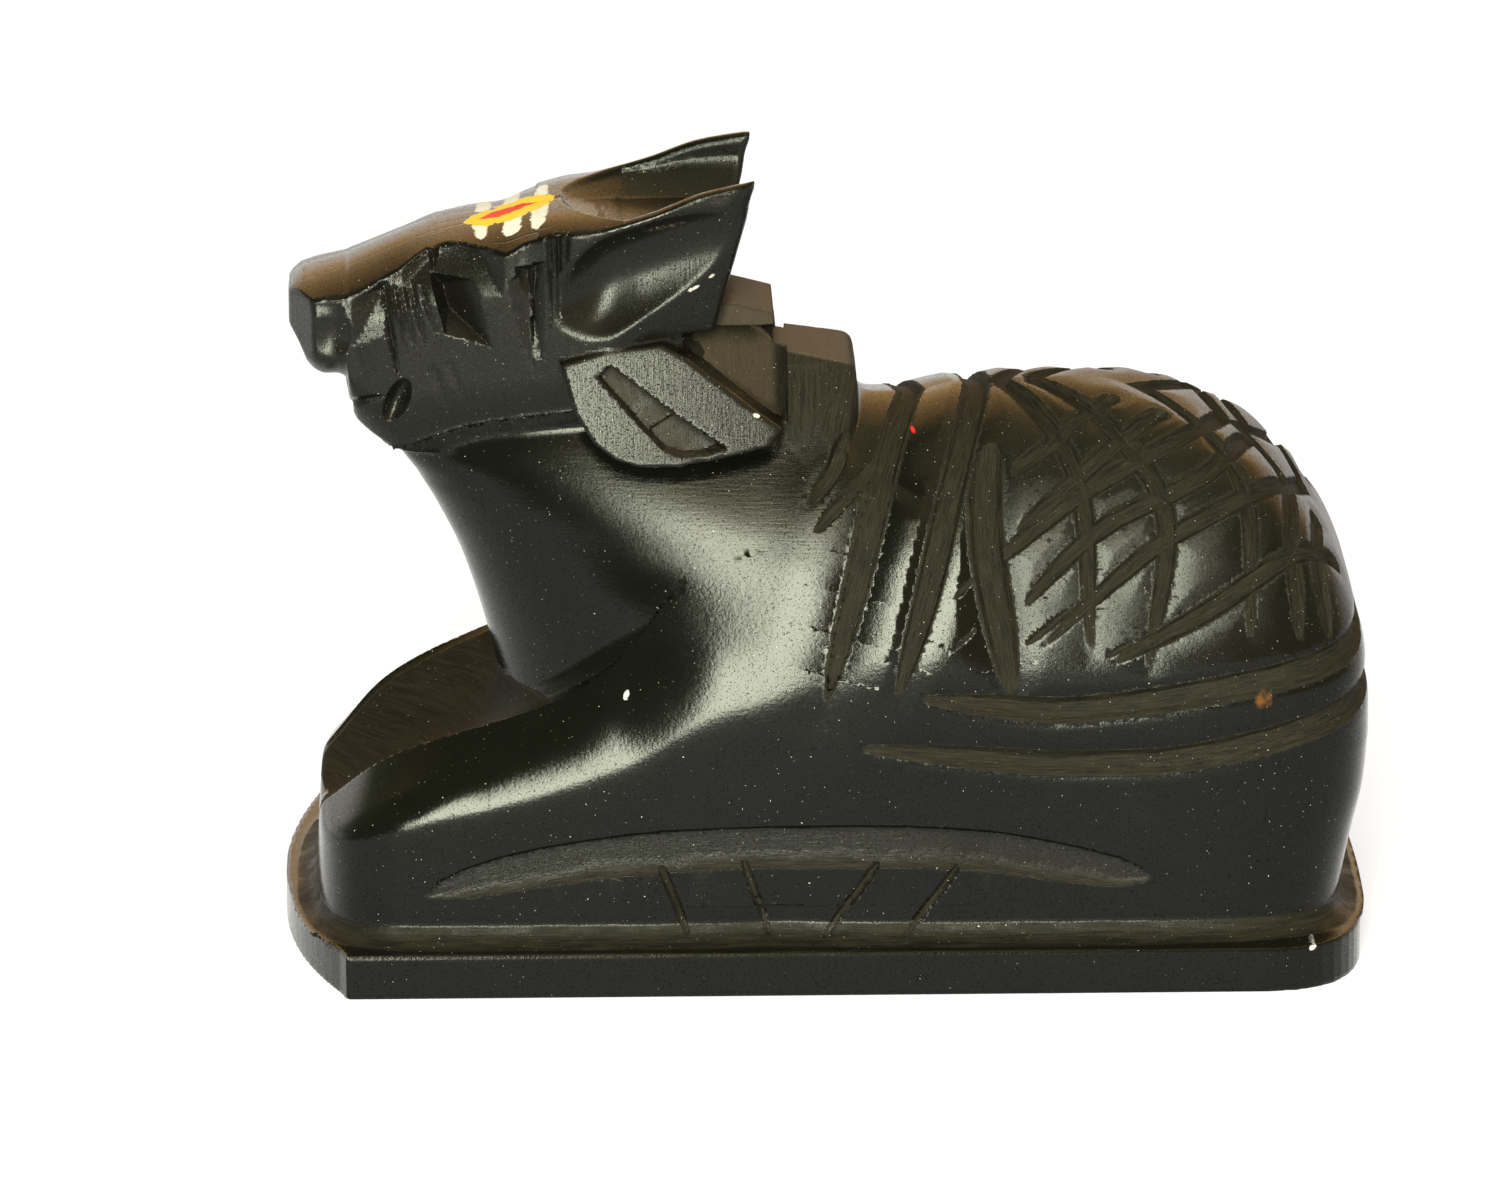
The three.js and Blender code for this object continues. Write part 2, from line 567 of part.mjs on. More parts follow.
// Tidies the skin that crossing cuts leave, and keeps it closed. An edge that is too short closes
// up where its ends share no neighbours but the two beside it. A needle, whose third corner lies
// on its long edge, trades that edge with the face next to it.
const SHORTEST_EDGE = 0.05;
const THINNEST_FACE = 0.003;
function tidied({ vertProperties, triVerts }) {
  const points = new THREE.BufferAttribute(vertProperties, 3);
  const place = (v) => new THREE.Vector3().fromBufferAttribute(points, v);
  const span = (a, b) => place(a).distanceTo(place(b));
  const corners = (f) => [...triVerts.slice(3 * f, 3 * f + 3)];
  const faces = Array.from({ length: triVerts.length / 3 }, (_, f) => corners(f));
  const around = Array.from({ length: points.count }, () => new Set());
  faces.forEach((face, f) => face.forEach((v) => around[v].add(f)));
  const neighbours = (v) => new Set([...around[v]].flatMap((f) => faces[f]).filter((w) => w !== v));
  const setFace = (f, face) => {
    faces[f].forEach((v) => around[v].delete(f));
    faces[f] = face;
    face.forEach((v) => around[v].add(f));
  };
  const closeEdge = (kept, gone) => {
    for (const f of [...around[gone]]) {
      const face = faces[f].map((v) => (v === gone ? kept : v));
      setFace(f, faces[f].includes(kept) ? [] : face);
    }
  };
  for (let kept = 0; kept < points.count; kept += 1) {
    for (const other of neighbours(kept)) {
      const mine = neighbours(kept);
      const shared = [...neighbours(other)].filter((v) => mine.has(v));
      const short = mine.has(other) && span(kept, other) < SHORTEST_EDGE;
      if (short && shared.length === 2) closeEdge(kept, other);
    }
  }
  faces.forEach((face, f) => {
    if (!face.length) return;
    const turned = [0, 1, 2].map((k) => [face[k], face[(k + 1) % 3], face[(k + 2) % 3]]);
    turned.sort((one, two) => span(two[0], two[1]) - span(one[0], one[1]));
    const [a, b, c] = turned[0];
    const area = new THREE.Triangle(place(a), place(b), place(c)).getArea();
    if ((2 * area) / span(a, b) > THINNEST_FACE) return;
    const next = [...around[a]].find((g) => g !== f && around[b].has(g));
    const d = faces[next].find((v) => v !== a && v !== b);
    if (neighbours(c).has(d)) return;
    setFace(f, [a, d, c]);
    setFace(next, [d, b, c]);
  });
  const geometry = new THREE.BufferGeometry();
  geometry.setAttribute('position', points);
  geometry.setIndex(faces.flat());
  geometry.computeVertexNormals();
  return geometry;
}

const blackStone = new THREE.MeshStandardMaterial({
  name: 'polished_black_stone',
  color: 0x23241f,
  roughness: 0.34,
  metalness: 0,
});
const bull = new THREE.Mesh(tidied(carved), blackStone);
bull.name = 'nandi_bull';

const group = new THREE.Group();
group.add(bull);

export default group;
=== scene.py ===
# %% [markdown]
# A seated bull, carved with its plinth from one hand-sized block of black stone and polished.
# The solid that stands for it in the frame is faceted. This lesson carves the same bull again as
# a fine mesh, gives the stone its polish, its chisel marks and its painted forehead mark, and
# sets up a small studio with a camera. Everything is in metres in the end, but the carver thinks
# in millimetres, so the carving is done in millimetres and scaled at the last moment.

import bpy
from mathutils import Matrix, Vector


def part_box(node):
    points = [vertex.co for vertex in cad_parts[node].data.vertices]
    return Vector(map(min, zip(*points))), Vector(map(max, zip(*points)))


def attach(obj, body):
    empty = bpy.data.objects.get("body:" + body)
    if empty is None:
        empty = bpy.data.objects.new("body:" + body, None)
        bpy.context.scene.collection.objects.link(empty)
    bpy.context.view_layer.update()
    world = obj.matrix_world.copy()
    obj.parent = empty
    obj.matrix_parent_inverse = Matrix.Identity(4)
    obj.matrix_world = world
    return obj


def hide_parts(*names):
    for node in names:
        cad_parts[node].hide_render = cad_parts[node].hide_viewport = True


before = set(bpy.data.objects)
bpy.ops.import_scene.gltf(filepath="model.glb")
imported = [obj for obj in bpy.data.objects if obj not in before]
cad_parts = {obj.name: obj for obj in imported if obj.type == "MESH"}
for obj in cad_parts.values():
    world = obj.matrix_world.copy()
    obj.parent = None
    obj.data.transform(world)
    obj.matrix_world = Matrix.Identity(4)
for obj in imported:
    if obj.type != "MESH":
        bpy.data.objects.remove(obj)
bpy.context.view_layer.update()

# %% Libraries and the box that the drawing has to fill
import math

import bpy
import numpy as np
from mathutils import Vector

MILLIMETRE = 0.001
NODE = "nandi_bull"
low, high = (np.array(corner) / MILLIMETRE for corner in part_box(NODE))
DRAWN_SIZE = np.array([106.5, 50.0, 77.5])  # length, width and height of the drawing
DRAWN_FRONT = -53.25
PLINTH_TOP = 4.45
print("the block measures", (high - low).round(2), "mm, and the drawing", DRAWN_SIZE, "mm")


def in_frame(points):
    """Stretches drawn millimetres to the solid's box, in metres. The plinth keeps its height."""
    place = points.copy()
    place[:, 0] = low[0] + (points[:, 0] - DRAWN_FRONT) * (high[0] - low[0]) / DRAWN_SIZE[0]
    place[:, 1] = points[:, 1] * (high[1] - low[1]) / DRAWN_SIZE[1]
    stretch = (high[2] - PLINTH_TOP) / (DRAWN_SIZE[2] - PLINTH_TOP)
    above = points[:, 2] > PLINTH_TOP
    place[above, 2] = PLINTH_TOP + (points[above, 2] - PLINTH_TOP) * stretch
    return place * MILLIMETRE


# %% [markdown]
# Stone carving starts from a block and takes away, and forms run into each other with soft hollows
# or meet in crisp edges. Subdivision modelling would need a cage for every edge. A distance field
# suits it better: a function that says how far a point lies outside the stone, below zero inside.
# Two forms join by the smaller distance, a cut takes the larger one, and a blend between them is
# one short formula. Where a slanting face makes a measure grow faster than the true distance, it is
# multiplied by a little less than 1. The skin is found afterwards, wherever the field is zero.

# %% Joining, cutting and smooth curves through short tables
def join(a, b, blend):
    mix = np.maximum(blend - np.abs(a - b), 0) / blend
    return np.minimum(a, b) - mix * mix * blend / 4


def both(a, b, blend):
    return -join(-a, -b, blend)


def smooth(t):
    t = np.clip(t, 0, 1)
    return t * t * (3 - 2 * t)


class Table:
    """Smooth curves through rows of numbers, whose first column is the place along them."""

    def __init__(self, *rows, samples=600):
        rows = np.array(rows, float)
        knots, values = rows[:, 0], rows[:, 1:]
        slopes = np.empty_like(values)
        slopes[1:-1] = (values[2:] - values[:-2]) / (knots[2:] - knots[:-2])[:, None]
        slopes[0] = (values[1] - values[0]) / (knots[1] - knots[0])
        slopes[-1] = (values[-1] - values[-2]) / (knots[-1] - knots[-2])
        self.places = np.linspace(knots[0], knots[-1], samples)
        k = np.clip(np.searchsorted(knots, self.places) - 1, 0, len(knots) - 2)
        gap = (knots[k + 1] - knots[k])[:, None]
        t = (self.places - knots[k])[:, None] / gap
        start = (1 + 2 * t) * (1 - t) ** 2 * values[k] + t * (1 - t) ** 2 * gap * slopes[k]
        end = t * t * (3 - 2 * t) * values[k + 1] + t * t * (t - 1) * gap * slopes[k + 1]
        self.columns = (start + end).T

    def __call__(self, place):
        return [np.interp(place, self.places, column) for column in self.columns]


def beyond(length, ratio, inner):
    """Distance past a rounded surface, where ratio is 1 and grows evenly with length."""
    return length - np.where(ratio > 1e-6, length / np.maximum(ratio, 1e-6), inner)


def oval(x, side, front, rear, half, front_turn, rear_turn, blunt_front, blunt_rear):
    """Distance past a level outline: straight flanks between a rounded front and back."""
    ahead = np.maximum(front_turn - x, 0)
    behind = np.maximum(x - rear_turn, 0)
    blunt = np.where(ahead > 0, blunt_front, blunt_rear)
    reach = ahead / (front_turn - front) + behind / (rear - rear_turn)
    ratio = (reach**blunt + (side / half) ** blunt) ** (1 / blunt)
    return beyond(np.hypot(ahead + behind, side), ratio, half)


# %% [markdown]
# The plinth is a square-edged slab with a bowed front and rounded rear corners. The wall of the
# bull stands 3 mm inside it and meets it in a cove. On the real piece the front bow isn't square
# to the sides, so its near corner stands further back than the far one.

# %% Plinth and cove
HALF_WIDTH = 25.0
PLINTH_REAR = 52.35
REAR_CORNER, REAR_CORNER_DEPTH = 10.0, 14.0
BOW = {"near": 6.2, "far": 2.9, "chamfer": 2.0}
WALL = {"front": -50.25, "half": 21.9, "front_turn": -38, "rear_turn": 21,
        "blunt_front": 3.4, "blunt_rear": 5}
COVE_WIDTH, COVE_HEIGHT = 2.85, 1.9
CRISP = 0.25  # rounding of a crisp edge


def polygon(u, v, corners):
    """Distance past a closed outline of corners in a plane."""
    nearest = np.full(u.shape, 1e9)
    inside = np.zeros(u.shape, bool)
    for (u0, v0), (u1, v1) in zip(corners, np.roll(corners, -1, 0)):
        du, dv = u1 - u0, v1 - v0
        t = np.clip(((u - u0) * du + (v - v0) * dv) / (du * du + dv * dv), 0, 1)
        nearest = np.minimum(nearest, (u - u0 - t * du) ** 2 + (v - v0 - t * dv) ** 2)
        if dv:
            inside ^= ((v0 > v) != (v1 > v)) & (u < u0 + (v - v0) * du / dv)
    return np.where(inside, -1, 1) * np.sqrt(nearest)


def bezier(stops, count):
    """Points on a Bezier curve, the last stop left out."""
    t = np.linspace(0, 1, count + 1)[:-1, None]
    n = len(stops) - 1
    return sum(
        math.comb(n, k) * t**k * (1 - t) ** (n - k) * np.array(stop) for k, stop in enumerate(stops)
    )


near_corner, far_corner = DRAWN_FRONT + BOW["near"], DRAWN_FRONT + BOW["far"]
near_end = near_corner - BOW["chamfer"] / 3
bow_pull = (8 * DRAWN_FRONT - far_corner - near_end) / 6
straight_end, turned = PLINTH_REAR - REAR_CORNER, HALF_WIDTH - REAR_CORNER_DEPTH
near_rear = [(straight_end, -HALF_WIDTH), (PLINTH_REAR, -HALF_WIDTH), (PLINTH_REAR, -turned)]
bow = [
    (far_corner, HALF_WIDTH),
    (bow_pull, HALF_WIDTH / 3),
    (bow_pull, -HALF_WIDTH / 3),
    (near_end, BOW["chamfer"] - HALF_WIDTH),
]
plinth_outline = np.concatenate([
    [(near_corner, -HALF_WIDTH)],
    bezier(near_rear, 12),
    bezier([(x, -y) for x, y in near_rear[::-1]], 12),
    [(straight_end, HALF_WIDTH)],
    bezier(bow, 24),
    [(near_end, BOW["chamfer"] - HALF_WIDTH)],
])

rump_reach = Table([4.45, 50.4], [9, 51.1], [13, 51.9], [17, 52.8], [22, 53.25])


def plinth(x, y, z):
    slab = np.abs(z - PLINTH_TOP / 2) - PLINTH_TOP / 2
    return both(polygon(x, y, plinth_outline), slab, CRISP)


def wall(x, side, z):
    return oval(x, side, rear=rump_reach(z)[0], **WALL)


def cove(wall_distance, z):
    """The concave foot of the wall, a quarter of an ellipse that opens outward and up."""
    out = np.maximum(COVE_WIDTH - wall_distance, 0) / COVE_WIDTH
    down = np.maximum(COVE_HEIGHT - (z - PLINTH_TOP), 0) / COVE_HEIGHT
    size = (COVE_WIDTH * out + COVE_HEIGHT * down) / np.maximum(out + down, 1e-6)
    return np.maximum((1 - np.hypot(out, down)) * size, wall_distance - COVE_WIDTH)


print("plinth and cove drawn")

# %% [markdown]
# The barrel of the body is a blunt rounded block, a superellipsoid: with an exponent of 2 it would
# be an egg, and with a large one a brick. The neck is a stack of level ovals that leans forward.
# The folded forelegs are a sloping field with a ridge along each leg and a shallow scoop between.

# %% Barrel, neck and forelegs
BARREL = {"x": 21, "z": 22, "half": 21.9, "top": 54.9, "plan": 5, "girth": 2.3}
BARREL_FRONT, BARREL_FRONT_TURN, BARREL_FRONT_BLUNT = -24, 9, 2.1
SADDLE = {"dip": 1.3, "reach": 17.4}  # how the back sinks towards the hump


def back_line(x):
    ahead = np.maximum(0, BARREL["x"] - x)
    return BARREL["top"] - SADDLE["dip"] * (ahead / SADDLE["reach"]) ** 1.5


def barrel(x, side, z):
    ahead = np.maximum(BARREL_FRONT_TURN - x, 0)
    behind = np.maximum(x - BARREL["x"], 0)
    above = np.maximum(z - BARREL["z"], 0)
    blunt = np.where(ahead > 0, BARREL_FRONT_BLUNT, BARREL["plan"])
    reach = ahead / (BARREL_FRONT_TURN - BARREL_FRONT)
    reach = reach + behind / (rump_reach(z)[0] - BARREL["x"])
    plan = (reach**blunt + (side / BARREL["half"]) ** blunt) ** (1 / blunt)
    rise = above / (back_line(x) - BARREL["z"])
    girth = BARREL["girth"]
    ratio = (plan**girth + rise**girth) ** (1 / girth)
    length = np.sqrt((ahead + behind) ** 2 + side**2 + above**2)
    return beyond(length, ratio, BARREL["half"])


neck_form = Table(
    # height, front, half width, rear
    [12, -28, 21.4, 20],
    [20, -31, 21.8, 24],
    [30, -33.1, 20.6, 28],
    [38, -35.6, 19, 28],
    [43, -38, 16.7, 24],
    [46, -39.8, 14.9, 12],
    [50, -42, 11.9, 2.4],
    [54, -38, 8.8, 2.6],
    [58.3, -30, 5.4, 2.2],
)
NECK = {"top": 58, "round_until": 38, "square_over": 14, "blunt": 2.15, "lean": 0.85}


def neck(x, side, z):
    """Round at the foot, and square where it carries the head."""
    front, half, rear = neck_form(z)
    square = smooth((z - NECK["round_until"]) / NECK["square_over"])
    front_turn, rear_turn, blunt_rear = -14 * square, 6 - 10 * square, 2.3 + 3.7 * square
    column = oval(x, side, front, rear, half, front_turn, rear_turn, NECK["blunt"], blunt_rear)
    return both(NECK["lean"] * column, z - NECK["top"], 1)


leg_form = Table(
    # place, ridge from the middle, ridge height, scoop height, edge height, half width
    [-50, 8.6, 14.2, 12.6, 12.2, 15],
    [-48.4, 9.8, 15.8, 13, 13.6, 18.6],
    [-44.3, 12.7, 19.8, 15, 16.4, 21.3],
    [-40, 14.3, 22.3, 17, 18, 21.9],
    [-33.8, 15.9, 24.7, 20.6, 19.4, 21.9],
    [-27, 17, 27.3, 25.2, 21.2, 21.9],
    [-21, 17.6, 30.6, 30, 23.2, 21.9],
    [-10, 17.2, 35, 35, 28.8, 21.4],
    [8, 16.2, 36, 36, 31, 19],
)
LEG_ROUND, LEG_BACK, SCOOP_BLUNT = 3.0, 8, 1.5
TOE_FRONT, TOE_HEIGHT, TOE_LEAN = -50.3, 9, 0.12


def forelegs(x, side, z):
    ridge, crest, scoop, edge, half = leg_form(x)
    slope = (z - crest) * (half - ridge) + (side - ridge) * (crest - edge)
    outer = both(side - half, slope / np.hypot(half - ridge, crest - edge), LEG_ROUND)
    inner = z - scoop - (crest - scoop) * (side / ridge) ** SCOOP_BLUNT
    toe = TOE_FRONT + np.maximum(z - TOE_HEIGHT, 0) * TOE_LEAN - x
    top = np.where(side > ridge, outer, inner) * 0.88
    return both(both(top, wall(x, side, z), 0.6), np.maximum(toe, x - LEG_BACK), 0.7)


print("barrel, neck and forelegs drawn")

# %% [markdown]
# The head is nearly flat-sided: the carver sawed its outline and then dressed the cheeks with flat
# chisels and a file. Each of those cuts is a pit with flat walls: its depth is the least of the
# distances to its sides, each times a slope of its own, and never more than its deepest point.
# The cuts only push the cheek's plane inward, so the polished forehead above keeps a crisp edge.

# %% Pits, bowls and furrows in a cheek
def pit(x, z, deepest, *sides):
    """Depth of a pit. Each side gives a corner and the slope of the wall from there to the next."""
    depth = np.full(x.shape, deepest)
    for (x0, z0, slope), (x1, z1, _) in zip(sides, sides[1:] + sides[:1]):
        inward = ((x - x0) * (z1 - z0) - (z - z0) * (x1 - x0)) / math.hypot(x1 - x0, z1 - z0)
        depth = np.minimum(depth, inward * slope)
    return np.maximum(depth, 0)


def bowl(x, z, centre, radii, depth, turn=0):
    """Depth of a round hollow, turned clockwise by degrees."""
    c, s = math.cos(math.radians(turn)), math.sin(math.radians(turn))
    u, v = x - centre[0], z - centre[1]
    out = ((c * u - s * v) / radii[0]) ** 2 + ((s * u + c * v) / radii[1]) ** 2
    return depth * np.maximum(1 - out, 0)


def furrow(x, z, start, end, width, depth):
    """Depth of a short file mark, pointed at its end."""
    du, dv = end[0] - start[0], end[1] - start[1]
    t = np.clip(((x - start[0]) * du + (z - start[1]) * dv) / (du * du + dv * dv), 0, 1)
    away = np.hypot(x - start[0] - t * du, z - start[1] - t * dv)
    return depth * np.maximum(1 - 2 * away / width - t**3, 0)


FURROWS = [
    # start, end, width, depth
    [(-42.9, 66.5), (-41.5, 57.5), 1.3, 0.55],
    [(-41.9, 66.3), (-40.6, 59.8), 0.9, 0.28],
    [(-41.1, 66.3), (-39.7, 59.9), 0.9, 0.24],
    [(-40.2, 66.5), (-38.7, 60.4), 0.9, 0.28],
    [(-39.3, 66.5), (-37.6, 61.5), 0.8, 0.24],
    [(-26.9, 72), (-26.7, 62.6), 0.9, 0.4],
    [(-26.0, 72), (-25.9, 63.4), 0.9, 0.5],
    [(-25.1, 72), (-25.1, 64.6), 0.8, 0.36],
    [(-46.6, 54.9), (-42.6, 56), 1.2, 0.5],
    [(-38.2, 58.5), (-36.4, 53.4), 1.1, 0.14],
    [(-36.6, 59), (-34.5, 53.6), 1.0, 0.1],
    [(-44.9, 60.4), (-43.6, 55.8), 1.2, 0.12],
]
PITS = [
    # deepest, then the first corner and the slope of each wall
    [0.7, (-46, 65.3, 1), (-42.8, 67.1, 1.6), (-42.4, 62, 0.16), (-46, 60.8, 0.2)],
    [1.6, (-41.2, 68.6, 2.5), (-38, 70.9, 1.4), (-37.9, 66.9, 0.4), (-41, 66.3, 0.3)],
    [1.1, (-38.2, 71, 2), (-31.2, 70.4, 0.4), (-31.4, 66, 0.26), (-38.1, 66.6, 1.2)],
    [2.7, (-38.6, 68, 1.8), (-34, 67.6, 0.8), (-32.4, 60.9, 1.3), (-37, 62.1, 3)],
    [0.9, (-31, 67.4, 1.4), (-28.4, 69.4, 2), (-28.5, 58.4, 0.34), (-30.2, 63.5, 0.34)],
    [2.0, (-30.3, 69, 1.6), (-28, 69.3, 1.1), (-28.3, 62.4, 0.6), (-29.7, 65.4, 1.3)],
    [1.4, (-28.5, 69.5, 1.4), (-27.2, 69.6, 0.8), (-27.6, 59.8, 0.2), (-28.6, 60, 5)],
]
NOSTRIL = {"centre": (-48.4, 62.3), "radii": (2.5, 3.1), "depth": 0.7}
MOUTH_CORNER = {"centre": (-41.7, 55.4), "radii": (1.2, 2.4), "depth": 1.3, "turn": 24}


def carved_face(x, z):
    """How deep the cheek is cut."""
    depth = bowl(x, z, **NOSTRIL) * smooth((x + 51) / 3.5)
    depth = np.maximum(depth, bowl(x, z, **MOUTH_CORNER))
    for deepest, *sides in PITS:
        depth = np.maximum(depth, pit(x, z, deepest, *sides))
    for start, end, width, deep in FURROWS:
        depth = np.maximum(depth, furrow(x, z, start, end, width, deep))
    return depth


print("cheek cut with", len(PITS), "pits and", len(FURROWS), "furrows")

# %% [markdown]
# Every cross-section of the head comes from one table. The horns are the rear of the same block,
# hollowed between them and scooped on the outside so that their rims flare, and the block is cut
# away under the flare along a slanting ridge.

# %% Head and horns
head_form = Table(
    # place, crown, crown half width, its drop to the edge, cheek half width, jaw, jaw half width
    [-52.2, 65.2, 6.4, 0.5, 6.8, 61.6, 5.2],
    [-51, 65.9, 7.4, 0.8, 7.8, 59.9, 5.8],
    [-50.4, 66.1, 7.8, 1, 8.2, 58.6, 6],
    [-49.2, 66.5, 8.2, 1.2, 8.7, 57.6, 6.3],
    [-46.6, 67.2, 8.5, 1.6, 9.1, 57, 6.4],
    [-46.3, 67.4, 8.5, 1.7, 9.1, 54.6, 6.3],
    [-45.4, 67.8, 8.4, 1.8, 9.1, 52.6, 6.4],
    [-41.6, 69.4, 7.5, 1.5, 8.9, 49.9, 6.8],
    [-38.5, 70.4, 7, 0.7, 9.1, 49.6, 7.2],
    [-35.5, 71, 7.6, 0.6, 9.4, 50.4, 7.6],
    [-33, 71.4, 9, 1.1, 9.8, 50.8, 7.8],
    [-31, 71.9, 9.9, 1.7, 10.1, 51, 8],
    [-29, 72.5, 9.9, 1.2, 10.3, 51, 8.2],
    [-25.6, 73.2, 10.9, 1.0, 10.8, 51.4, 8.4],
    [-22, 73.6, 11.3, 0.9, 11.2, 52, 8.6],
    [-17, 74.9, 11.3, 0.8, 11.4, 54, 8.8],
    [-12.4, 76.5, 10.9, 0.6, 11.5, 56, 9],
    [-6.7, 77.5, 10.2, 0.4, 11, 58, 9],
)
MUZZLE, HORN_TIP, REAR_LEAN = -52.2, -6.7, 0.27
CHEEK_FULL, CHEEK_TURN = 0.35, 0.75  # shares of the height from the jaw to the crown's edge
BROW, BLUNT_FACE, BLUNT_CROWN = -28, 2.4, 5  # behind the brow the crown is flatter
RIDGE = {"x": -16.2, "z": 64.6, "rise": 36.4, "curl": 0.27, "curl_from": -11, "undercut": 0.35,
         "half": 9.4, "widen": 0.18, "widen_from": -10}
MUZZLE_FACET = {"half": 3.2, "depth": 2.2, "width": 4.6}


def head(x, side, z):
    crown, top, drop, cheek, jaw, chin = head_form(x)
    share = np.clip((z - jaw) / (crown - drop - jaw), 0, 1)
    swell = 1 - np.maximum(1 - share / CHEEK_FULL, 0) ** 2
    turned = smooth((share - CHEEK_TURN) / (1 - CHEEK_TURN))
    flank = chin + (cheek - chin) * swell + (top - cheek) * turned
    roof = z - crown + drop * (side / top) ** np.where(x > BROW, BLUNT_CROWN, BLUNT_FACE)
    block = both(jaw - z, roof * 0.97, 0.5)
    block = both(block, (side - flank + carved_face(x, z)) * 0.93, 0.35)
    rise = math.radians(RIDGE["rise"])
    below = (x - RIDGE["x"]) * math.sin(rise) - (z - RIDGE["z"]) * math.cos(rise)
    below = below + RIDGE["curl"] * np.maximum(x - RIDGE["curl_from"], 0) ** 2
    half = RIDGE["half"] + RIDGE["widen"] * np.maximum(RIDGE["widen_from"] - x, 0)
    under = (side - half + RIDGE["undercut"] * below) / math.hypot(1, RIDGE["undercut"])
    block = both(block, under, 0.4)
    rear = (x - HORN_TIP + REAR_LEAN * (DRAWN_SIZE[2] - z)) / math.hypot(1, REAR_LEAN)
    turn, reach = MUZZLE_FACET["depth"], MUZZLE_FACET["width"]
    facet = ((MUZZLE - x) * reach + (side - MUZZLE_FACET["half"]) * turn) / math.hypot(turn, reach)
    return both(both(block, rear, 0.5), both(MUZZLE - x, facet, 0.3), 0.4)


HOLLOW = {"start": -25.6, "opens_over": 6, "depth": 6.2, "wall": 1.6, "foot": 0.75, "flare": 1.6}


def horn_hollow(x, side, z):
    """The space between the horns, which is narrower at its foot."""
    opening = np.sqrt(np.clip((x - HOLLOW["start"]) / HOLLOW["opens_over"], 0, 1))
    crown, top = head_form(np.minimum(x, HORN_TIP))[:2]
    floor = crown - (crown - DRAWN_SIZE[2] + HOLLOW["depth"]) * opening
    lift = smooth(HOLLOW["flare"] * (z - floor) / np.maximum(crown - floor, 0.1))
    width = HOLLOW["foot"] + (1 - HOLLOW["foot"]) * lift
    inside = side - (top - HOLLOW["wall"]) * opening * width
    return both(floor - z, inside, 1.6)


scoop_form = Table(
    # place, height of its middle, how far in it cuts, radius
    [-26, 65.6, 0.4, 5],
    [-22, 67, 2.5, 5.8],
    [-18, 68.5, 2.5, 6],
    [-13, 70.2, 2.3, 6.2],
    [-9, 71.3, 1.6, 6],
    [-2, 73, 0.6, 6],
)
SCOOP_START = -26.4


def horn_scoop(x, side, z):
    """The long hollow along the outside of a horn, part of a bent tube."""
    height, inward, radius = scoop_form(x)
    middle = head_form(np.minimum(x, HORN_TIP))[3] - inward + radius
    tube = np.hypot(side - middle, z - height) - radius
    return both(tube, SCOOP_START - x, 1)


print("head and horns drawn")

# %% [markdown]
# Ears and hump are sawn steps and plates rather than round forms. The ear is a leaf-shaped plate
# that leans out from the neck and has a sunk field. Behind the head the hump falls in two steps.

# %% Ear and hump
EAR_OUTLINE = np.array([
    [-25.9, 59.7], [-24.6, 55.3], [-22.8, 52.6], [-20.6, 51], [-18.3, 50.4], [-14.6, 50.4],
    [-9.6, 51.2], [-5.8, 52], [-4.4, 53.6], [-7, 55.3], [-13.7, 60.2], [-16, 61.4], [-21.1, 61],
])
EAR_FIELD = np.array([
    [-22.3, 58.6], [-21.1, 59.6], [-14.5, 54.9], [-9.9, 52], [-11.6, 51.5], [-14, 51.4],
    [-15.8, 51.9], [-17, 53],
])
EAR_RECESS, EAR_STEP_DEPTH = 1.5, 0.4
EAR_FACE = {"side": 11.4, "top": 61, "lean": 0.4, "bend": 0.002, "bend_from": -24}
EAR_STEP = [(-17.4, 53.6, 3), (-14.8, 55.1, 3), (-9.4, 52.2, 3), (-13.6, 50.6, 3), (-17, 52, 3)]
NOTCH = {"start": -14, "end": -3.9, "x": -10.2, "z": 57.6, "fall": 0.73, "half": 8, "lean": 0.9,
         "top": 61.8}


def ear_face(x, side, z):
    """Distance past the ear's outer face, which leans out downwards and bends in to the rear."""
    plane = side - EAR_FACE["side"] - (EAR_FACE["top"] - z) * EAR_FACE["lean"]
    return (plane + EAR_FACE["bend"] * np.maximum(x - EAR_FACE["bend_from"], 0) ** 2) * 0.93


def ear(x, side, z):
    return both(polygon(x, z, EAR_OUTLINE), ear_face(x, side, z), 0.5)


def ear_recess(x, side, z):
    depth = EAR_RECESS + EAR_STEP_DEPTH * np.minimum(pit(x, z, 1.0, *EAR_STEP), 1)
    return np.maximum(polygon(x, z, EAR_FIELD), -depth - ear_face(x, side, z))


FIRST = {"front": -20, "rear": -5.1, "foot": 48, "top": 64.5, "fall": 0.035, "fall_from": -26,
         "drop": 0.22, "drop_from": -9, "half": 5.2, "facet_foot": 54, "facet_width": 4.3}
SECOND = {"front": -6.5, "rear": 3.2, "foot": 45, "top": 59.1, "fall": 0.18, "fall_from": -4,
          "half": 5.3, "facet_top": 58.4, "bow": 0.05, "lean": 0.12, "lean_from": 55}


def first_step(x, side, z):
    """The upper step of the hump: a sloping top and one sawn facet on each side."""
    top = FIRST["top"] - FIRST["fall"] * (x - FIRST["fall_from"])
    top = top - FIRST["drop"] * np.maximum(x - FIRST["drop_from"], 0)
    tall, wide = top - FIRST["facet_foot"], FIRST["facet_width"]
    facet = ((side - FIRST["half"]) * tall + (z - top) * wide) / np.hypot(tall, wide)
    ends = np.maximum(np.maximum(x - FIRST["rear"], FIRST["front"] - x), FIRST["foot"] - z)
    return both(both(z - top, facet, 0.3), ends, 0.3)


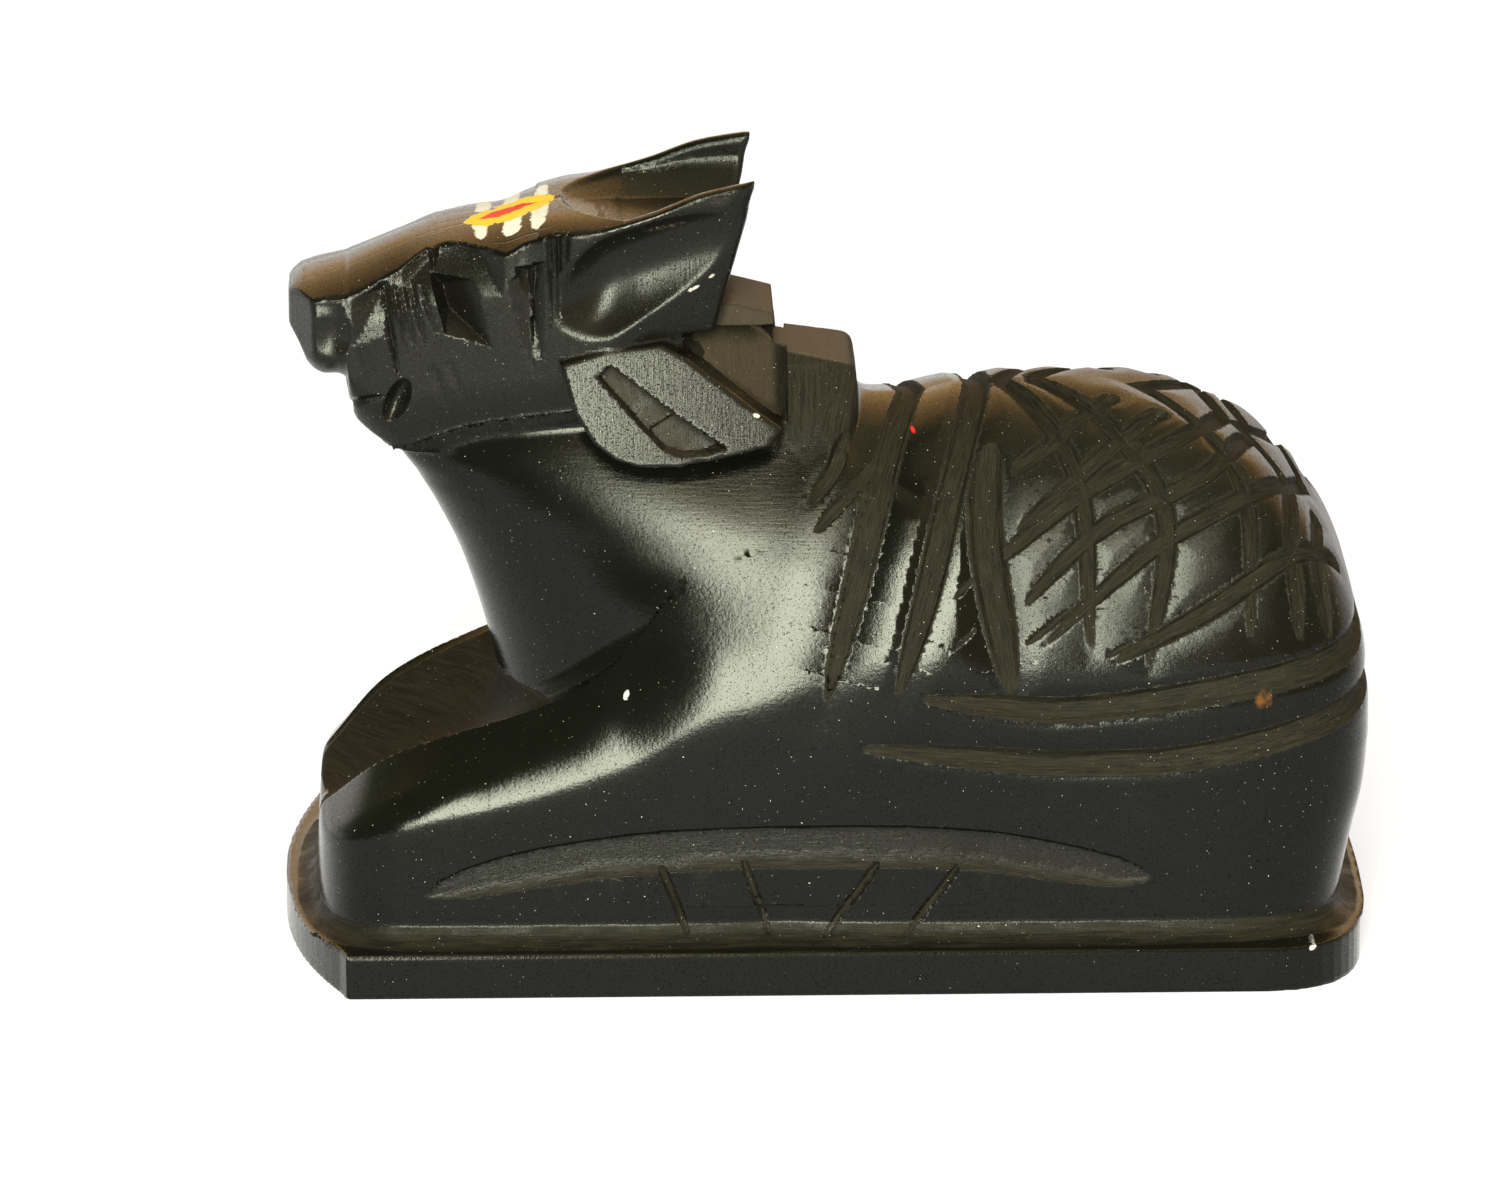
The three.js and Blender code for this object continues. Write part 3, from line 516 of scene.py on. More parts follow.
def second_step(x, side, z):
    """The lower step, whose rear is bowed and leans, and whose underside slants down."""
    top = SECOND["top"] - SECOND["fall"] * (x - SECOND["fall_from"])
    facet = (side - SECOND["half"]) * 0.793 + (z - SECOND["facet_top"]) * 0.61
    rear = x - SECOND["rear"] + SECOND["bow"] * np.maximum(side - SECOND["half"], 0) ** 2
    rear = rear + SECOND["lean"] * np.maximum(z - SECOND["lean_from"], 0)
    under = (46.4 - 1.4 * x - z) / 1.72
    ends = np.maximum(np.maximum(SECOND["front"] - x, SECOND["foot"] - z), under)
    return both(both(both(z - top, facet, 0.3), rear, 1.2), ends, 0.3)


def notch(x, side, z):
    """The cut between the ear's sloping back and the hump."""
    shelf = NOTCH["z"] - NOTCH["fall"] * (x - NOTCH["x"])
    above = (shelf - z) / math.hypot(1, NOTCH["fall"])
    outside = (NOTCH["half"] - NOTCH["lean"] * (z - shelf) - side) / math.hypot(1, NOTCH["lean"])
    ends = np.maximum(np.maximum(NOTCH["start"] - x, x - NOTCH["end"]), z - NOTCH["top"])
    return np.maximum(np.maximum(above, outside), ends)


print("ear and hump drawn")

# %% [markdown]
# One function adds the forms. Far from the head there is no need to ask about the head, so each
# form is asked only inside its own box, which keeps the work small. The function also says how
# roughly a place was left, because the material needs to know that: the hump was never polished,
# and the cheeks and the ears were only filed.

# %% The forms together
FAR = 30.0
ALL = (-99, 99)
SPACE = {  # the lowest and highest x, distance from the middle, and z of each form
    forelegs: [(-56, 11), ALL, (4, 45)],
    neck: [(-50, 35), ALL, (8, 62)],
    head: [(-58, 0), (-1, 18), (40, 82)],
    horn_hollow: [(-30, 0), (-1, 18), (66, 90)],
    horn_scoop: [(-28, 2), (2, 30), (54, 84)],
    first_step: [(-24, 0), (-1, 20), (44, 70)],
    second_step: [(-18, 8), (-1, 20), (44, 66)],
    notch: [(-16, -2), (3, 20), (48, 68)],
    ear: [(-30, 0), (5, 22), (44, 68)],
    ear_recess: [(-26, -5), (5, 22), (48, 64)],
    plinth: [ALL, ALL, (-9, 9)],
}
POLISHED, FILED, IN_EAR, IN_COVE, ON_LEG = 0.1, 0.35, 0.52, 0.55, 0.7  # how rough, up to 1
ON_FACE = 0.1  # how near to a form's face a place counts as on it


def within(form, p):
    """A form's distances inside its space, and FAR elsewhere."""
    chosen = np.ones(p.shape[1], bool)
    for axis, (lowest, highest) in enumerate(SPACE[form]):
        chosen &= (p[axis] > lowest) & (p[axis] < highest)
    result = np.full(p.shape[1], FAR)
    result[chosen] = form(*p[:, chosen])
    return result


def uncut(p):
    """Distances to the stone before its long cuts, and how rough it was left."""
    x, y, z = p
    side = np.abs(y)
    folded = np.array([x, side, z])
    stone = join(barrel(x, side, z), within(forelegs, folded), 2)
    stone = join(stone, within(neck, folded), 3)
    stone = both(stone, wall(x, side, z), 0.6)
    stone = np.maximum(cove(stone, z), PLINTH_TOP - 0.5 - z)
    skull = within(head, folded)
    skull = both(skull, -within(horn_hollow, folded), 1.0)
    skull = both(skull, -within(horn_scoop, folded), 0.45)
    stone = join(stone, skull, 0.8)
    steps = np.minimum(within(first_step, folded), within(second_step, folded))
    stone = join(stone, steps, 0.3)
    gap = within(notch, folded)
    stone = both(stone, -gap, 0.2)
    plate = within(ear, folded)
    stone = join(stone, plate, 0.3)
    stone = np.minimum(stone, within(plinth, p))
    chiselled = np.clip(1 - (steps - stone) / 0.3, 0, 1) * (steps < FAR)
    crown, _, drop, *_ = head_form(x)
    cheek = (z < crown - drop - 0.15 + 2 * (side < 5)) & (side > 3)
    filed = (np.abs(skull - stone) < ON_FACE) & cheek
    filed |= (np.abs(plate - stone) < ON_FACE) | (np.abs(gap + stone) < ON_FACE)
    ridge = leg_form(x)[0]
    on_leg = smooth((-22 - x) / 8) * smooth((ridge - side) / 1.5) * (z < 27) * (z > 12.8)
    in_cove = smooth((PLINTH_TOP + 2.4 - z) / 0.8) * smooth((z - PLINTH_TOP + 0.1) / 0.2)
    rough = np.max([chiselled, FILED * filed, IN_COVE * in_cove, ON_LEG * on_leg], axis=0)
    return stone, rough


# %% [markdown]
# The saddle cloth is a net of chisel cuts. Each cut is a curve that lies on the barrel, with a
# width and a depth that swell and fade along it. Near a cut the skin sinks by the depth times a
# profile of the sideways distance, and where cuts cross, the deeper one counts. Polishing rounds
# the stone beside a cut, so most cuts also have soft shoulders, which catch the light.

# %% A chisel cut
FULLY_ROUGH = 0.12  # the depth from which a cut is as rough as it gets


class Cut:
    """A cut along points. It fades towards its start, its end or both, the more suddenly the
    larger blunt is, and its tip is that share of its width. Its floor is the flat share of its
    width and leans to one side, and shoulder is the depth and the width of the rounding beside
    it. A recess is a wide shallow cut, which gets rougher where its leaning floor is shallow."""

    def __init__(self, points, width, depth, fade=(1, 1), floor=0.5, lean=0.0, rough=1.0, tip=0.35,
                 shoulder=(0.1, 1), blunt=3, recess=False):
        self.points = np.array(points, float)
        share = np.linspace(-fade[0], fade[1], len(points))
        fullness = np.maximum(0.03, 1 - np.abs(share) ** blunt)
        self.half = width / 2 * (tip + (1 - tip) * fullness)
        self.depth = depth * fullness
        self.floor, self.lean, self.recess = floor, lean, recess
        self.rough, self.shoulder = rough, shoulder
        self.shoulder_depth = shoulder[0] * (1 - np.abs(share) ** 5)
        self.reach = self.half.max() + max(self.depth.max() + 0.5, shoulder[1])
        steps = np.linalg.norm(np.diff(points, axis=0), axis=1)
        self.travel = np.concatenate([[0], np.cumsum(steps)])

    def sink(self, p, skin, state):
        """Where this cut is the deepest, turns the state of each point p of the field to its own:
        how far the skin sinks, how rough it is, and the place across and along the tool's way."""
        lowest = self.points.min(0) - self.reach
        highest = self.points.max(0) + self.reach
        near = np.abs(skin) < self.reach + 1
        for axis in range(3):
            near &= (p[axis] > lowest[axis]) & (p[axis] < highest[axis])
        index = np.nonzero(near)[0]
        if not len(index):
            return
        q = p[:, index]
        best = np.full(len(index), 1e9)
        half, deep, fall, across, along = (np.ones(len(index)) for _ in range(5))
        for k in range(len(self.points) - 1):
            a, b = self.points[k], self.points[k + 1]
            way = b - a
            sideways = np.cross(way, (0, a[1], a[2] - BARREL["z"]))
            sideways /= np.linalg.norm(sideways)
            t = np.clip(((q - a[:, None]) * way[:, None]).sum(0) / (way @ way), 0, 1)
            distance = ((q - a[:, None] - way[:, None] * t) ** 2).sum(0)
            closer = distance < best
            t = t[closer]
            best[closer] = distance[closer]
            half[closer] = self.half[k] + (self.half[k + 1] - self.half[k]) * t
            deep[closer] = self.depth[k] + (self.depth[k + 1] - self.depth[k]) * t
            fall[closer] = self.shoulder_depth[k]
            across[closer] = sideways @ (q - a[:, None])[:, closer]
            along[closer] = self.travel[k] + (self.travel[k + 1] - self.travel[k]) * t
        away = np.sqrt(np.maximum(best - skin[index] ** 2, 0))
        lateral = away / half
        sunk = deep * np.clip((1 - lateral) / (1 - self.floor), 0, 1)
        tilt = (1 + self.lean * np.clip(across / half, -1, 1)) / (1 + abs(self.lean))
        sunk = sunk * tilt
        if self.recess:
            rough = self.rough * (1.15 - tilt) * (away < half)
        else:
            rough = self.rough * smooth(sunk / FULLY_ROUGH)
        rounding = fall * np.clip(1 - (away - half) / self.shoulder[1], 0, 1) ** 2
        sunk = np.maximum(sunk, np.minimum(rounding, fall))
        deeper = sunk > state[0, index]
        own = [sunk, rough, across, along + 7 * self.points[0, 0]]
        state[:, index[deeper]] = np.array(own)[:, deeper]


def spline(stops, count):
    """Points on a smooth curve through stops."""
    stops = np.array(stops, float)
    knots = np.arange(len(stops), dtype=float)
    curve = Table(*np.column_stack([knots, stops]))
    return np.array(curve(np.linspace(0, len(stops) - 1, count))).T


def on_barrel(x, degrees):
    """The place on the barrel at an angle down from the spine, by halving from the middle."""
    angle = np.radians(degrees)
    way = np.array([np.sin(angle) * BARREL["half"], np.cos(angle) * (back_line(x) - BARREL["z"])])
    inside, outside = np.zeros(len(x)), np.full(len(x), 1.6)
    for _ in range(24):
        middle = (inside + outside) / 2
        past = barrel(x, np.abs(middle * way[0]), BARREL["z"] + middle * way[1]) > 0
        inside = np.where(past, inside, middle)
        outside = np.where(past, middle, outside)
    return np.column_stack([x, inside * way[0], BARREL["z"] + inside * way[1]])


def on_skin(x, z):
    """Places on the side of the uncut stone, by halving from outside."""
    inside, outside = np.zeros(len(x)), np.full(len(x), 30.0)
    for _ in range(20):
        middle = (inside + outside) / 2
        past = uncut(np.array([x, middle, z]))[0] > 0
        outside = np.where(past, middle, outside)
        inside = np.where(past, inside, middle)
    return np.column_stack([x, inside, z])


# %% Straps and net
POINTS = {"girth": 14, "flank": 28, "curved": 20, "straight": 5}  # along each kind of cut
STRAP = {"width": 3.0, "depth": 1.35, "lean": 0.35, "shoulder": (0.3, 3), "blunt": 7}
NET = {"width": 2.4, "depth": 1.2, "lean": 0.35, "shoulder": (0.25, 2.6), "blunt": 6}
NET_ACROSS = {"width": 2.3, "depth": 1.1, "lean": -0.2, "shoulder": (0.2, 2.2), "blunt": 6}
FADE_DOWN, FADE_START = (0, 1), (1, 0)
STRAPS = [
    # each stop: degrees down from the spine, and x
    [[-3, 8.6], [23, 6.4], [50, 3.4], [80, -0.9]],
    [[-3, 15], [21, 13.7], [54, 10.1], [77, 6.4]],
]
LEAF_STRAP = [[29, 15.6], [50, 15], [77, 17.4]]
LEAF = {"width": 3.8, "depth": 1.5, "lean": 0.35, "shoulder": (0.3, 3), "blunt": 4}
NET_BACK = [
    [[-3, 16.4], [18, 20.2], [41, 24.2], [70, 25]],
    [[2, 20.6], [26, 27.6], [47, 32.5], [73, 30.6]],
    [[-3, 30], [12, 34.5], [39, 40.3], [68, 40.5]],
    [[-3, 40], [22, 44.7], [50, 44.9], [68, 45.4]],
    [[27, 48], [50, 47.7], [67, 48.4]],
]
NET_FORWARD = [
    [[38, 17.5], [30, 21.5], [14, 27.6]],
    [[50, 17.8], [41, 22.8], [29, 28.3], [19, 32.4]],
    [[61, 11.7], [43, 23.7], [25, 35.2], [-3, 39.6]],
    [[63, 18.2], [49, 26.1], [35, 37.4], [7, 41.6]],
    [[69, 20.6], [53, 30.9], [41, 40.3], [25, 45.2], [-3, 47.4]],
    [[72, 27.4], [61, 38.6], [44, 49.6]],
]


def girth_cut(stops, size, fade):
    """A cut round the barrel, along a curve through stops."""
    places = spline(stops, POINTS["girth"])
    return Cut(on_barrel(places[:, 1], places[:, 0]), fade=fade, **size)


cloth_cuts = [girth_cut(STRAPS[0], {**STRAP, "shoulder": (0.6, 6)}, FADE_DOWN)]
cloth_cuts.append(girth_cut(STRAPS[1], STRAP, FADE_DOWN))
cloth_cuts.append(girth_cut(LEAF_STRAP, LEAF, (1, 1)))
cloth_cuts += [girth_cut(stops, NET, FADE_DOWN) for stops in NET_BACK]
cloth_cuts += [girth_cut(stops, NET_ACROSS, FADE_START) for stops in NET_FORWARD]
print(len(cloth_cuts), "cuts in the saddle cloth, each mirrored")

# %% Flank, belly and hooves
FLANK = {"width": 2.9, "depth": 1.0, "fade": (1, 0.6), "lean": 0.3}
FLANK_SHARE = 0.4  # the part of a cut that is straight
RUMP_LENGTH, RUMP_TURN, RUMP_BLUNT = 32.2, 94, 5


def flank_cut(start, height, dip, lift, delay, speed):
    """A leaf-shaped cut along the flank, which rises a little and runs on round the rump."""
    share = np.linspace(0, 1, POINTS["flank"])
    turn = np.maximum(share - FLANK_SHARE, 0) / (1 - FLANK_SHARE)
    z = height - dip * np.minimum(1, share / FLANK_SHARE) + lift * smooth((turn - delay) / speed)
    rise = np.maximum(0, z - BARREL["z"]) / (BARREL["top"] - BARREL["z"])
    shrink = (1 - rise ** BARREL["girth"]) ** (1 / BARREL["girth"])
    angle = np.radians(90 - RUMP_TURN * turn)
    corner = np.abs(np.cos(angle)) ** RUMP_BLUNT + np.abs(np.sin(angle)) ** RUMP_BLUNT
    corner = corner ** (1 / RUMP_BLUNT)
    straight_x = start + (BARREL["x"] - start) * share / FLANK_SHARE
    straight_y = BARREL["half"] * shrink
    rump_x = BARREL["x"] + RUMP_LENGTH * shrink / corner * np.cos(angle)
    rump_y = BARREL["half"] * shrink / corner * np.sin(angle)
    x, y = np.where(turn > 0, rump_x, straight_x), np.where(turn > 0, rump_y, straight_y)
    return Cut(np.column_stack([x, y, z]), **FLANK)


def side_cut(stops, width, depth, **shape):
    """A cut on the side of the stone, along a curve through (x, z) stops."""
    x, z = spline(stops, POINTS["curved" if len(stops) > 2 else "straight"]).T
    return Cut(on_skin(x, z), width, depth, **shape)


flank_cuts = [
    flank_cut(8.6, 28.9, 1.3, 6, 0, 0.8),
    flank_cut(2.8, 24, 1.7, 5.6, 0.15, 0.55),
]
BELLY = [  # x and z of each stop
    [-39.1, 9.4], [-36, 10.4], [-30.1, 11.8], [-23, 12.9], [-16.4, 13.6], [-8, 14],
    [-0.4, 14.1], [8, 14], [15.7, 13.4], [22.7, 12.2], [28.2, 11.2], [31, 10.7],
]
belly_cut = side_cut(BELLY, 4.4, 0.4, floor=0.85, lean=0.95, rough=0.6, tip=0.1, shoulder=(0, 1),
                     blunt=5, recess=True)
SHORT_CUTS = [
    ([[11.8, 38.3], [14.6, 41.1]], 0.9, 0.35),
    ([[11.4, 33.3], [14.6, 36.2]], 0.5, 0.25),
    ([[18, 33.5], [24, 38]], 0.9, 0.35),
    ([[26.4, 32.7], [29.4, 34.4]], 0.8, 0.3),
]
short_cuts = [side_cut(stops, width, depth, shoulder=(0, 1)) for stops, width, depth in SHORT_CUTS]
HOOF_TICKS = [
    [[-16.4, 11.9], [-14, 5.6]],
    [[-8.4, 12.4], [-6, 5.4]],
    [[4.4, 12.2], [-0.4, 5.2]],
    [[12.2, 11.8], [7.4, 5.2]],
]
hoof_cuts = [side_cut(stops, 0.9, 0.5, fade=(0.4, 0.7), floor=0.2, rough=0.6,
                      shoulder=(0, 1)) for stops in HOOF_TICKS]
SHOULDER_CUTS = [
    ([[2.2, 52.4], [0.6, 49.6], [-1.9, 46.4]], 2.2, 0.9),
    ([[5.6, 50.8], [2.6, 48.2], [-1.6, 44]], 2.0, 0.8),
]
shoulder_cuts = [side_cut(stops, width, depth) for stops, width, depth in SHOULDER_CUTS]
all_cuts = cloth_cuts + flank_cuts + [belly_cut] + hoof_cuts + shoulder_cuts + short_cuts
print(len(all_cuts), "cuts in all, each mirrored")

# %% [markdown]
# The last function takes the long cuts away. It also gives the place across and along the tool's
# last strokes, so that the material can draw their fine lines the right way round.

# %% The whole bull as one field
UPRIGHT_ABOVE = 30  # the rough faces above were worked up and down, the others along the body


def bull(p):
    """How far each point lies outside the stone, how rough the stone is there, from 0 to 1, and
    the place across and along the last strokes of the tool."""
    x, y, z = p
    folded = np.array([x, np.abs(y), z])
    stone, rough = uncut(p)
    lines = np.array([z, x])
    upright = (rough > POLISHED) & (z > UPRIGHT_ABOVE)
    lines[:, upright] = x[upright], z[upright]
    state = np.array([0 * x, 0 * x, *lines])
    for cut in all_cuts:
        cut.sink(folded, stone, state)
    rough = np.maximum(rough, state[1])
    stone = stone + state[0]
    recess = within(ear_recess, folded)
    rough = np.maximum(rough, IN_EAR * np.clip(1 - recess / 0.1, 0, 1))
    stone = both(stone, -recess, 0.15)
    return stone, rough, state[2:]


def stone_distance(p):
    return bull(p)[0]


probe = np.array([[0.0, 21, -60], [0, 0, 0], [30, 40, 30]])
print("distances at three test points:", stone_distance(probe).round(2))

# %% [markdown]
# The skin is found by dual contouring. The field is sampled on a grid, but only in blocks that the
# skin can pass. Every grid edge that crosses the skin gives a point and a normal, and every small
# cube with such edges gets one vertex, placed where the planes of its crossings meet best. That
# keeps chisel edges crisp, where plain marching cubes or a voxel remesh would round them.

# %% From the field to a mesh
GRID = 0.35
BLOCK = 4
SAFETY = 1.6  # how much further than a block's corner the skin is looked for
NUDGE = 0.03
FIRMNESS = 0.02  # pull of a vertex towards the middle of its crossings


def batches(field, points, size=400_000):
    return np.concatenate([field(points[:, k : k + size]) for k in range(0, points.shape[1], size)])


def normals_at(field, points):
    ways = np.array([[1, -1, -1], [-1, -1, 1], [-1, 1, -1], [1, 1, 1]], float)
    total = sum(way[:, None] * batches(field, points + NUDGE * way[:, None]) for way in ways)
    return total / np.maximum(np.linalg.norm(total, axis=0), 1e-9)


def sample_grid(field, start, end):
    blocks = np.ceil((end - start) / (GRID * BLOCK)).astype(int)
    centres = np.indices(blocks).reshape(3, -1) * GRID * BLOCK + start[:, None] + GRID * BLOCK / 2
    coarse = batches(field, centres).reshape(blocks)
    active = np.abs(coarse) < GRID * BLOCK * 0.87 + SAFETY
    wanted = np.zeros(blocks * BLOCK + 1, bool)
    spread = active.repeat(BLOCK, 0).repeat(BLOCK, 1).repeat(BLOCK, 2)
    for shift in np.ndindex(2, 2, 2):
        view = tuple(slice(s, s + n) for s, n in zip(shift, spread.shape))
        wanted[view] |= spread
    index = np.array(np.nonzero(wanted))
    values = np.full(wanted.shape, np.nan)
    values[tuple(index)] = batches(field, index * GRID + start[:, None])
    return values, index.shape[1]


def contour(field, start, end):
    values, count = sample_grid(field, start, end)
    print("field sampled at", count, "points")
    shape = np.array(values.shape)
    crossings, corner_cells, turned = [], [], []
    for axis in range(3):
        first = np.take(values, range(shape[axis] - 1), axis)
        second = np.take(values, range(1, shape[axis]), axis)
        with np.errstate(invalid="ignore"):
            found = np.array(np.nonzero((first < 0) != (second < 0)))
        a, b = first[tuple(found)], second[tuple(found)]
        known = np.isfinite(a) & np.isfinite(b)
        found, a, b = found[:, known], a[known], b[known]
        place = found.astype(float)
        place[axis] += a / (a - b)
        crossings.append(place * GRID + start[:, None])
        u, v = (axis + 1) % 3, (axis + 2) % 3
        around = np.repeat(found[:, :, None], 4, 2)
        around[u] -= [1, 0, 0, 1]
        around[v] -= [1, 1, 0, 0]
        around[:, a > 0] = around[:, a > 0, ::-1]
        corner_cells.append(np.ravel_multi_index(tuple(around), tuple(shape)))
    points = np.concatenate(crossings, 1)
    cells, quads = np.unique(np.concatenate(corner_cells), return_inverse=True)
    quads = quads.reshape(-1, 4)
    normals = normals_at(field, points)

    def gathered(weights):
        return sum(np.bincount(quads[:, k], weights, len(cells)) for k in range(4))

    many = gathered(np.ones(len(quads)))
    middle = np.array([gathered(row) for row in points]) / many
    matrix = np.empty((len(cells), 3, 3))
    for i in range(3):
        for j in range(3):
            matrix[:, i, j] = gathered(normals[i] * normals[j]) / many
    level = (normals * points).sum(0)
    pull = np.array([gathered(normals[i] * level) for i in range(3)]).T / many[:, None]
    pull -= np.einsum("nij,jn->ni", matrix, middle)
    shift = np.linalg.solve(matrix + FIRMNESS * np.eye(3), pull[:, :, None])[:, :, 0]
    corner = np.array(np.unravel_index(cells, tuple(shape))).T * GRID + start
    return np.clip(middle.T + shift, corner, corner + GRID), quads


EDGE_ROOM = 1.1
start = np.array([DRAWN_FRONT, -HALF_WIDTH, 0]) - EDGE_ROOM
end = np.array([-DRAWN_FRONT, HALF_WIDTH, DRAWN_SIZE[2]]) + EDGE_ROOM
vertices, quads = contour(stone_distance, start, end)
print("skin of", len(vertices), "vertices and", len(quads), "quads")

# %% [markdown]
# Many of those faces lie on the flat underside and the plinth's sides, where they do nothing. The
# Decimate modifier takes faces away where that changes the shape least, so the flat parts go first
# and the carving keeps its detail.

# %% The mesh, thinned where it is flat
MOST_FACES = 190_000


def mesh_object(name, points, faces):
    mesh = bpy.data.meshes.new(name)
    mesh.from_pydata(points, [], faces)
    made = bpy.data.objects.new(name, mesh)
    bpy.context.scene.collection.objects.link(made)
    return made


stone = mesh_object("carved_bull", vertices, quads)
thin = stone.modifiers.new("thin", "DECIMATE")
thin.ratio = min(1.0, MOST_FACES / (2 * len(quads)))
thin.use_collapse_triangulate = True
shaped = stone.evaluated_get(bpy.context.evaluated_depsgraph_get())
carved_mesh = bpy.data.meshes.new_from_object(shaped)
stone.modifiers.clear()
stone.data = carved_mesh
print("thinned to", len(carved_mesh.polygons), "faces")

# %% [markdown]
# Before the mesh moves to its final size, the field tells the material what it needs. Each vertex
# learns how sheltered the place is, where dust gathers, and how exposed an edge it lies on, where
# the polish wears through. Each corner of a face learns how rough the stone is, and the tool's way.
# The corners are asked a little inside their face, so that both sides of an edge give their own
# answer. The field gives the shading normals in the same way, which keeps the polish even.

# %% What the material needs to know
drawn = np.empty(len(carved_mesh.vertices) * 3)
carved_mesh.vertices.foreach_get("co", drawn)
drawn = drawn.reshape(-1, 3)
outward = normals_at(stone_distance, drawn.T)
SHELTER, EXPOSURE = 1.6, 0.9
shelter = np.clip(1 - stone_distance(drawn.T + SHELTER * outward) / SHELTER, 0, 1)
exposure = np.clip(1 + stone_distance(drawn.T - EXPOSURE * outward) / EXPOSURE, 0, 1)

owner = np.empty(len(carved_mesh.loops), int)
carved_mesh.loops.foreach_get("vertex_index", owner)
corners = drawn[owner].reshape(-1, 3, 3)
INTO_FACE, SAME_SIDE = 0.25, 0.96
corners = corners + INTO_FACE * (corners.mean(1, keepdims=True) - corners)
corners = corners.reshape(-1, 3).T
_, roughness_mark, stroke_lines = bull(corners)
own_normal = normals_at(stone_distance, corners)
shared_normal = outward[:, owner]
crisp = (own_normal * shared_normal).sum(0) < SAME_SIDE
corner_normals = np.where(crisp, own_normal, shared_normal).T
marks = {
    "shelter": (shelter, "POINT"),
    "exposure": (exposure, "POINT"),
    "rough": (roughness_mark, "CORNER"),
    "across": (stroke_lines[0], "CORNER"),
    "along": (stroke_lines[1], "CORNER"),
}
for title, (values, domain) in marks.items():
    mark = carved_mesh.attributes.new(title, "FLOAT", domain)
    mark.data.foreach_set("value", values.astype(np.float32))
    print(title, "runs from", round(values.min(), 2), "to", round(values.max(), 2))

final = in_frame(drawn)
final = np.clip(final, low * MILLIMETRE, high * MILLIMETRE)
carved_mesh.vertices.foreach_set("co", final.astype(np.float32).ravel())
carved_mesh.shade_smooth()
carved_mesh.normals_split_custom_set(corner_normals.astype(np.float32))
carved_mesh.update()
print(int(crisp.sum()), "of", len(owner), "corners lie at a crisp edge")

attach(stone, "root")
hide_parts(NODE)

# %% [markdown]
# A material is a graph of nodes, and a long graph is easier to read as arithmetic. The class below
# wraps one socket, so that `1 - mask * 0.5` adds the Math nodes by itself. Any other node comes
# from `Nodes.add`, which takes the type, its settings and the values or links of its sockets.

# %% Nodes written as expressions
class Wire:
    """An output socket, which arithmetic extends."""

    def __init__(self, nodes, socket):
        self.nodes, self.socket = nodes, socket

    def math(self, operation, *values, **settings):
        settings["operation"] = operation
        return self.nodes.add("ShaderNodeMath", settings, dict(enumerate(values)))

    def __add__(self, other):
        return self.math("ADD", self, other)

    def __radd__(self, other):
        return self.math("ADD", other, self)

    def __sub__(self, other):
        return self.math("SUBTRACT", self, other)

    def __rsub__(self, other):
        return self.math("SUBTRACT", other, self)

    def __mul__(self, other):
        return self.math("MULTIPLY", self, other)

    def __rmul__(self, other):
        return self.math("MULTIPLY", other, self)

    def most(self, other):
        return self.math("MAXIMUM", self, other)

    def magnitude(self):
        return self.math("ABSOLUTE", self)

    def power(self, exponent):
        return self.math("POWER", self, exponent)

    def step(self, start, end):
        """0 at start and 1 at end, with soft ends, in either order."""
        return self.nodes.add(
            "ShaderNodeMapRange",
            {"interpolation_type": "SMOOTHSTEP"},
            {"Value": self, "From Min": start, "From Max": end},
        )


class Nodes:
    """A material's node tree, with one method that adds a node."""

    def __init__(self, tree):
        self.tree = tree
        tree.nodes.clear()

    def add(self, kind, settings=None, values=None, output=0):
        node = self.tree.nodes.new(kind)
        for name, value in (settings or {}).items():
            setattr(node, name, value)
        for name, value in (values or {}).items():
            if isinstance(value, Wire):
                self.tree.links.new(value.socket, node.inputs[name])
            else:
                node.inputs[name].default_value = value
        return Wire(self, node.outputs[output]) if node.outputs else node

    def attribute(self, title):
        return self.add("ShaderNodeAttribute", {"attribute_name": title}, output=2)

    def vector(self, x, y, z):
        return self.add("ShaderNodeCombineXYZ", None, {0: x, 1: y, 2: z})

    def noise(self, vector, scale, detail=3, roughness=0.6):
        values = {"Vector": vector, "Scale": scale, "Detail": detail, "Roughness": roughness}
        return self.add("ShaderNodeTexNoise", None, values)

    def split(self, vector):
        node = self.add("ShaderNodeSeparateXYZ", None, {"Vector": vector}).socket.node
        return [Wire(self, socket) for socket in node.outputs]

    def mix(self, share, first, second):
        """One colour turning into another as share goes from 0 to 1."""
        values = {0: share, 6: first, 7: second}
        return self.add("ShaderNodeMix", {"data_type": "RGBA"}, values, output=2)


def colour(red, green, blue):
    """A colour as a screen shows it, from 0 to 255, turned to the linear values of a socket."""
    def linear(value):
        value /= 255
        return value / 12.92 if value <= 0.04045 else ((value + 0.055) / 1.055) ** 2.4
    return (linear(red), linear(green), linear(blue), 1.0)


# %% [markdown]
# A mark of red, yellow and white paint lies on the forehead: a yellow lozenge with a red streak
# along it, crossed by three short white strokes. Each is a stroke of a brush from one point to
# another, drawn from above in millimetres, whose width swells or tapers. The hairline scratches
# beside it are strokes too.

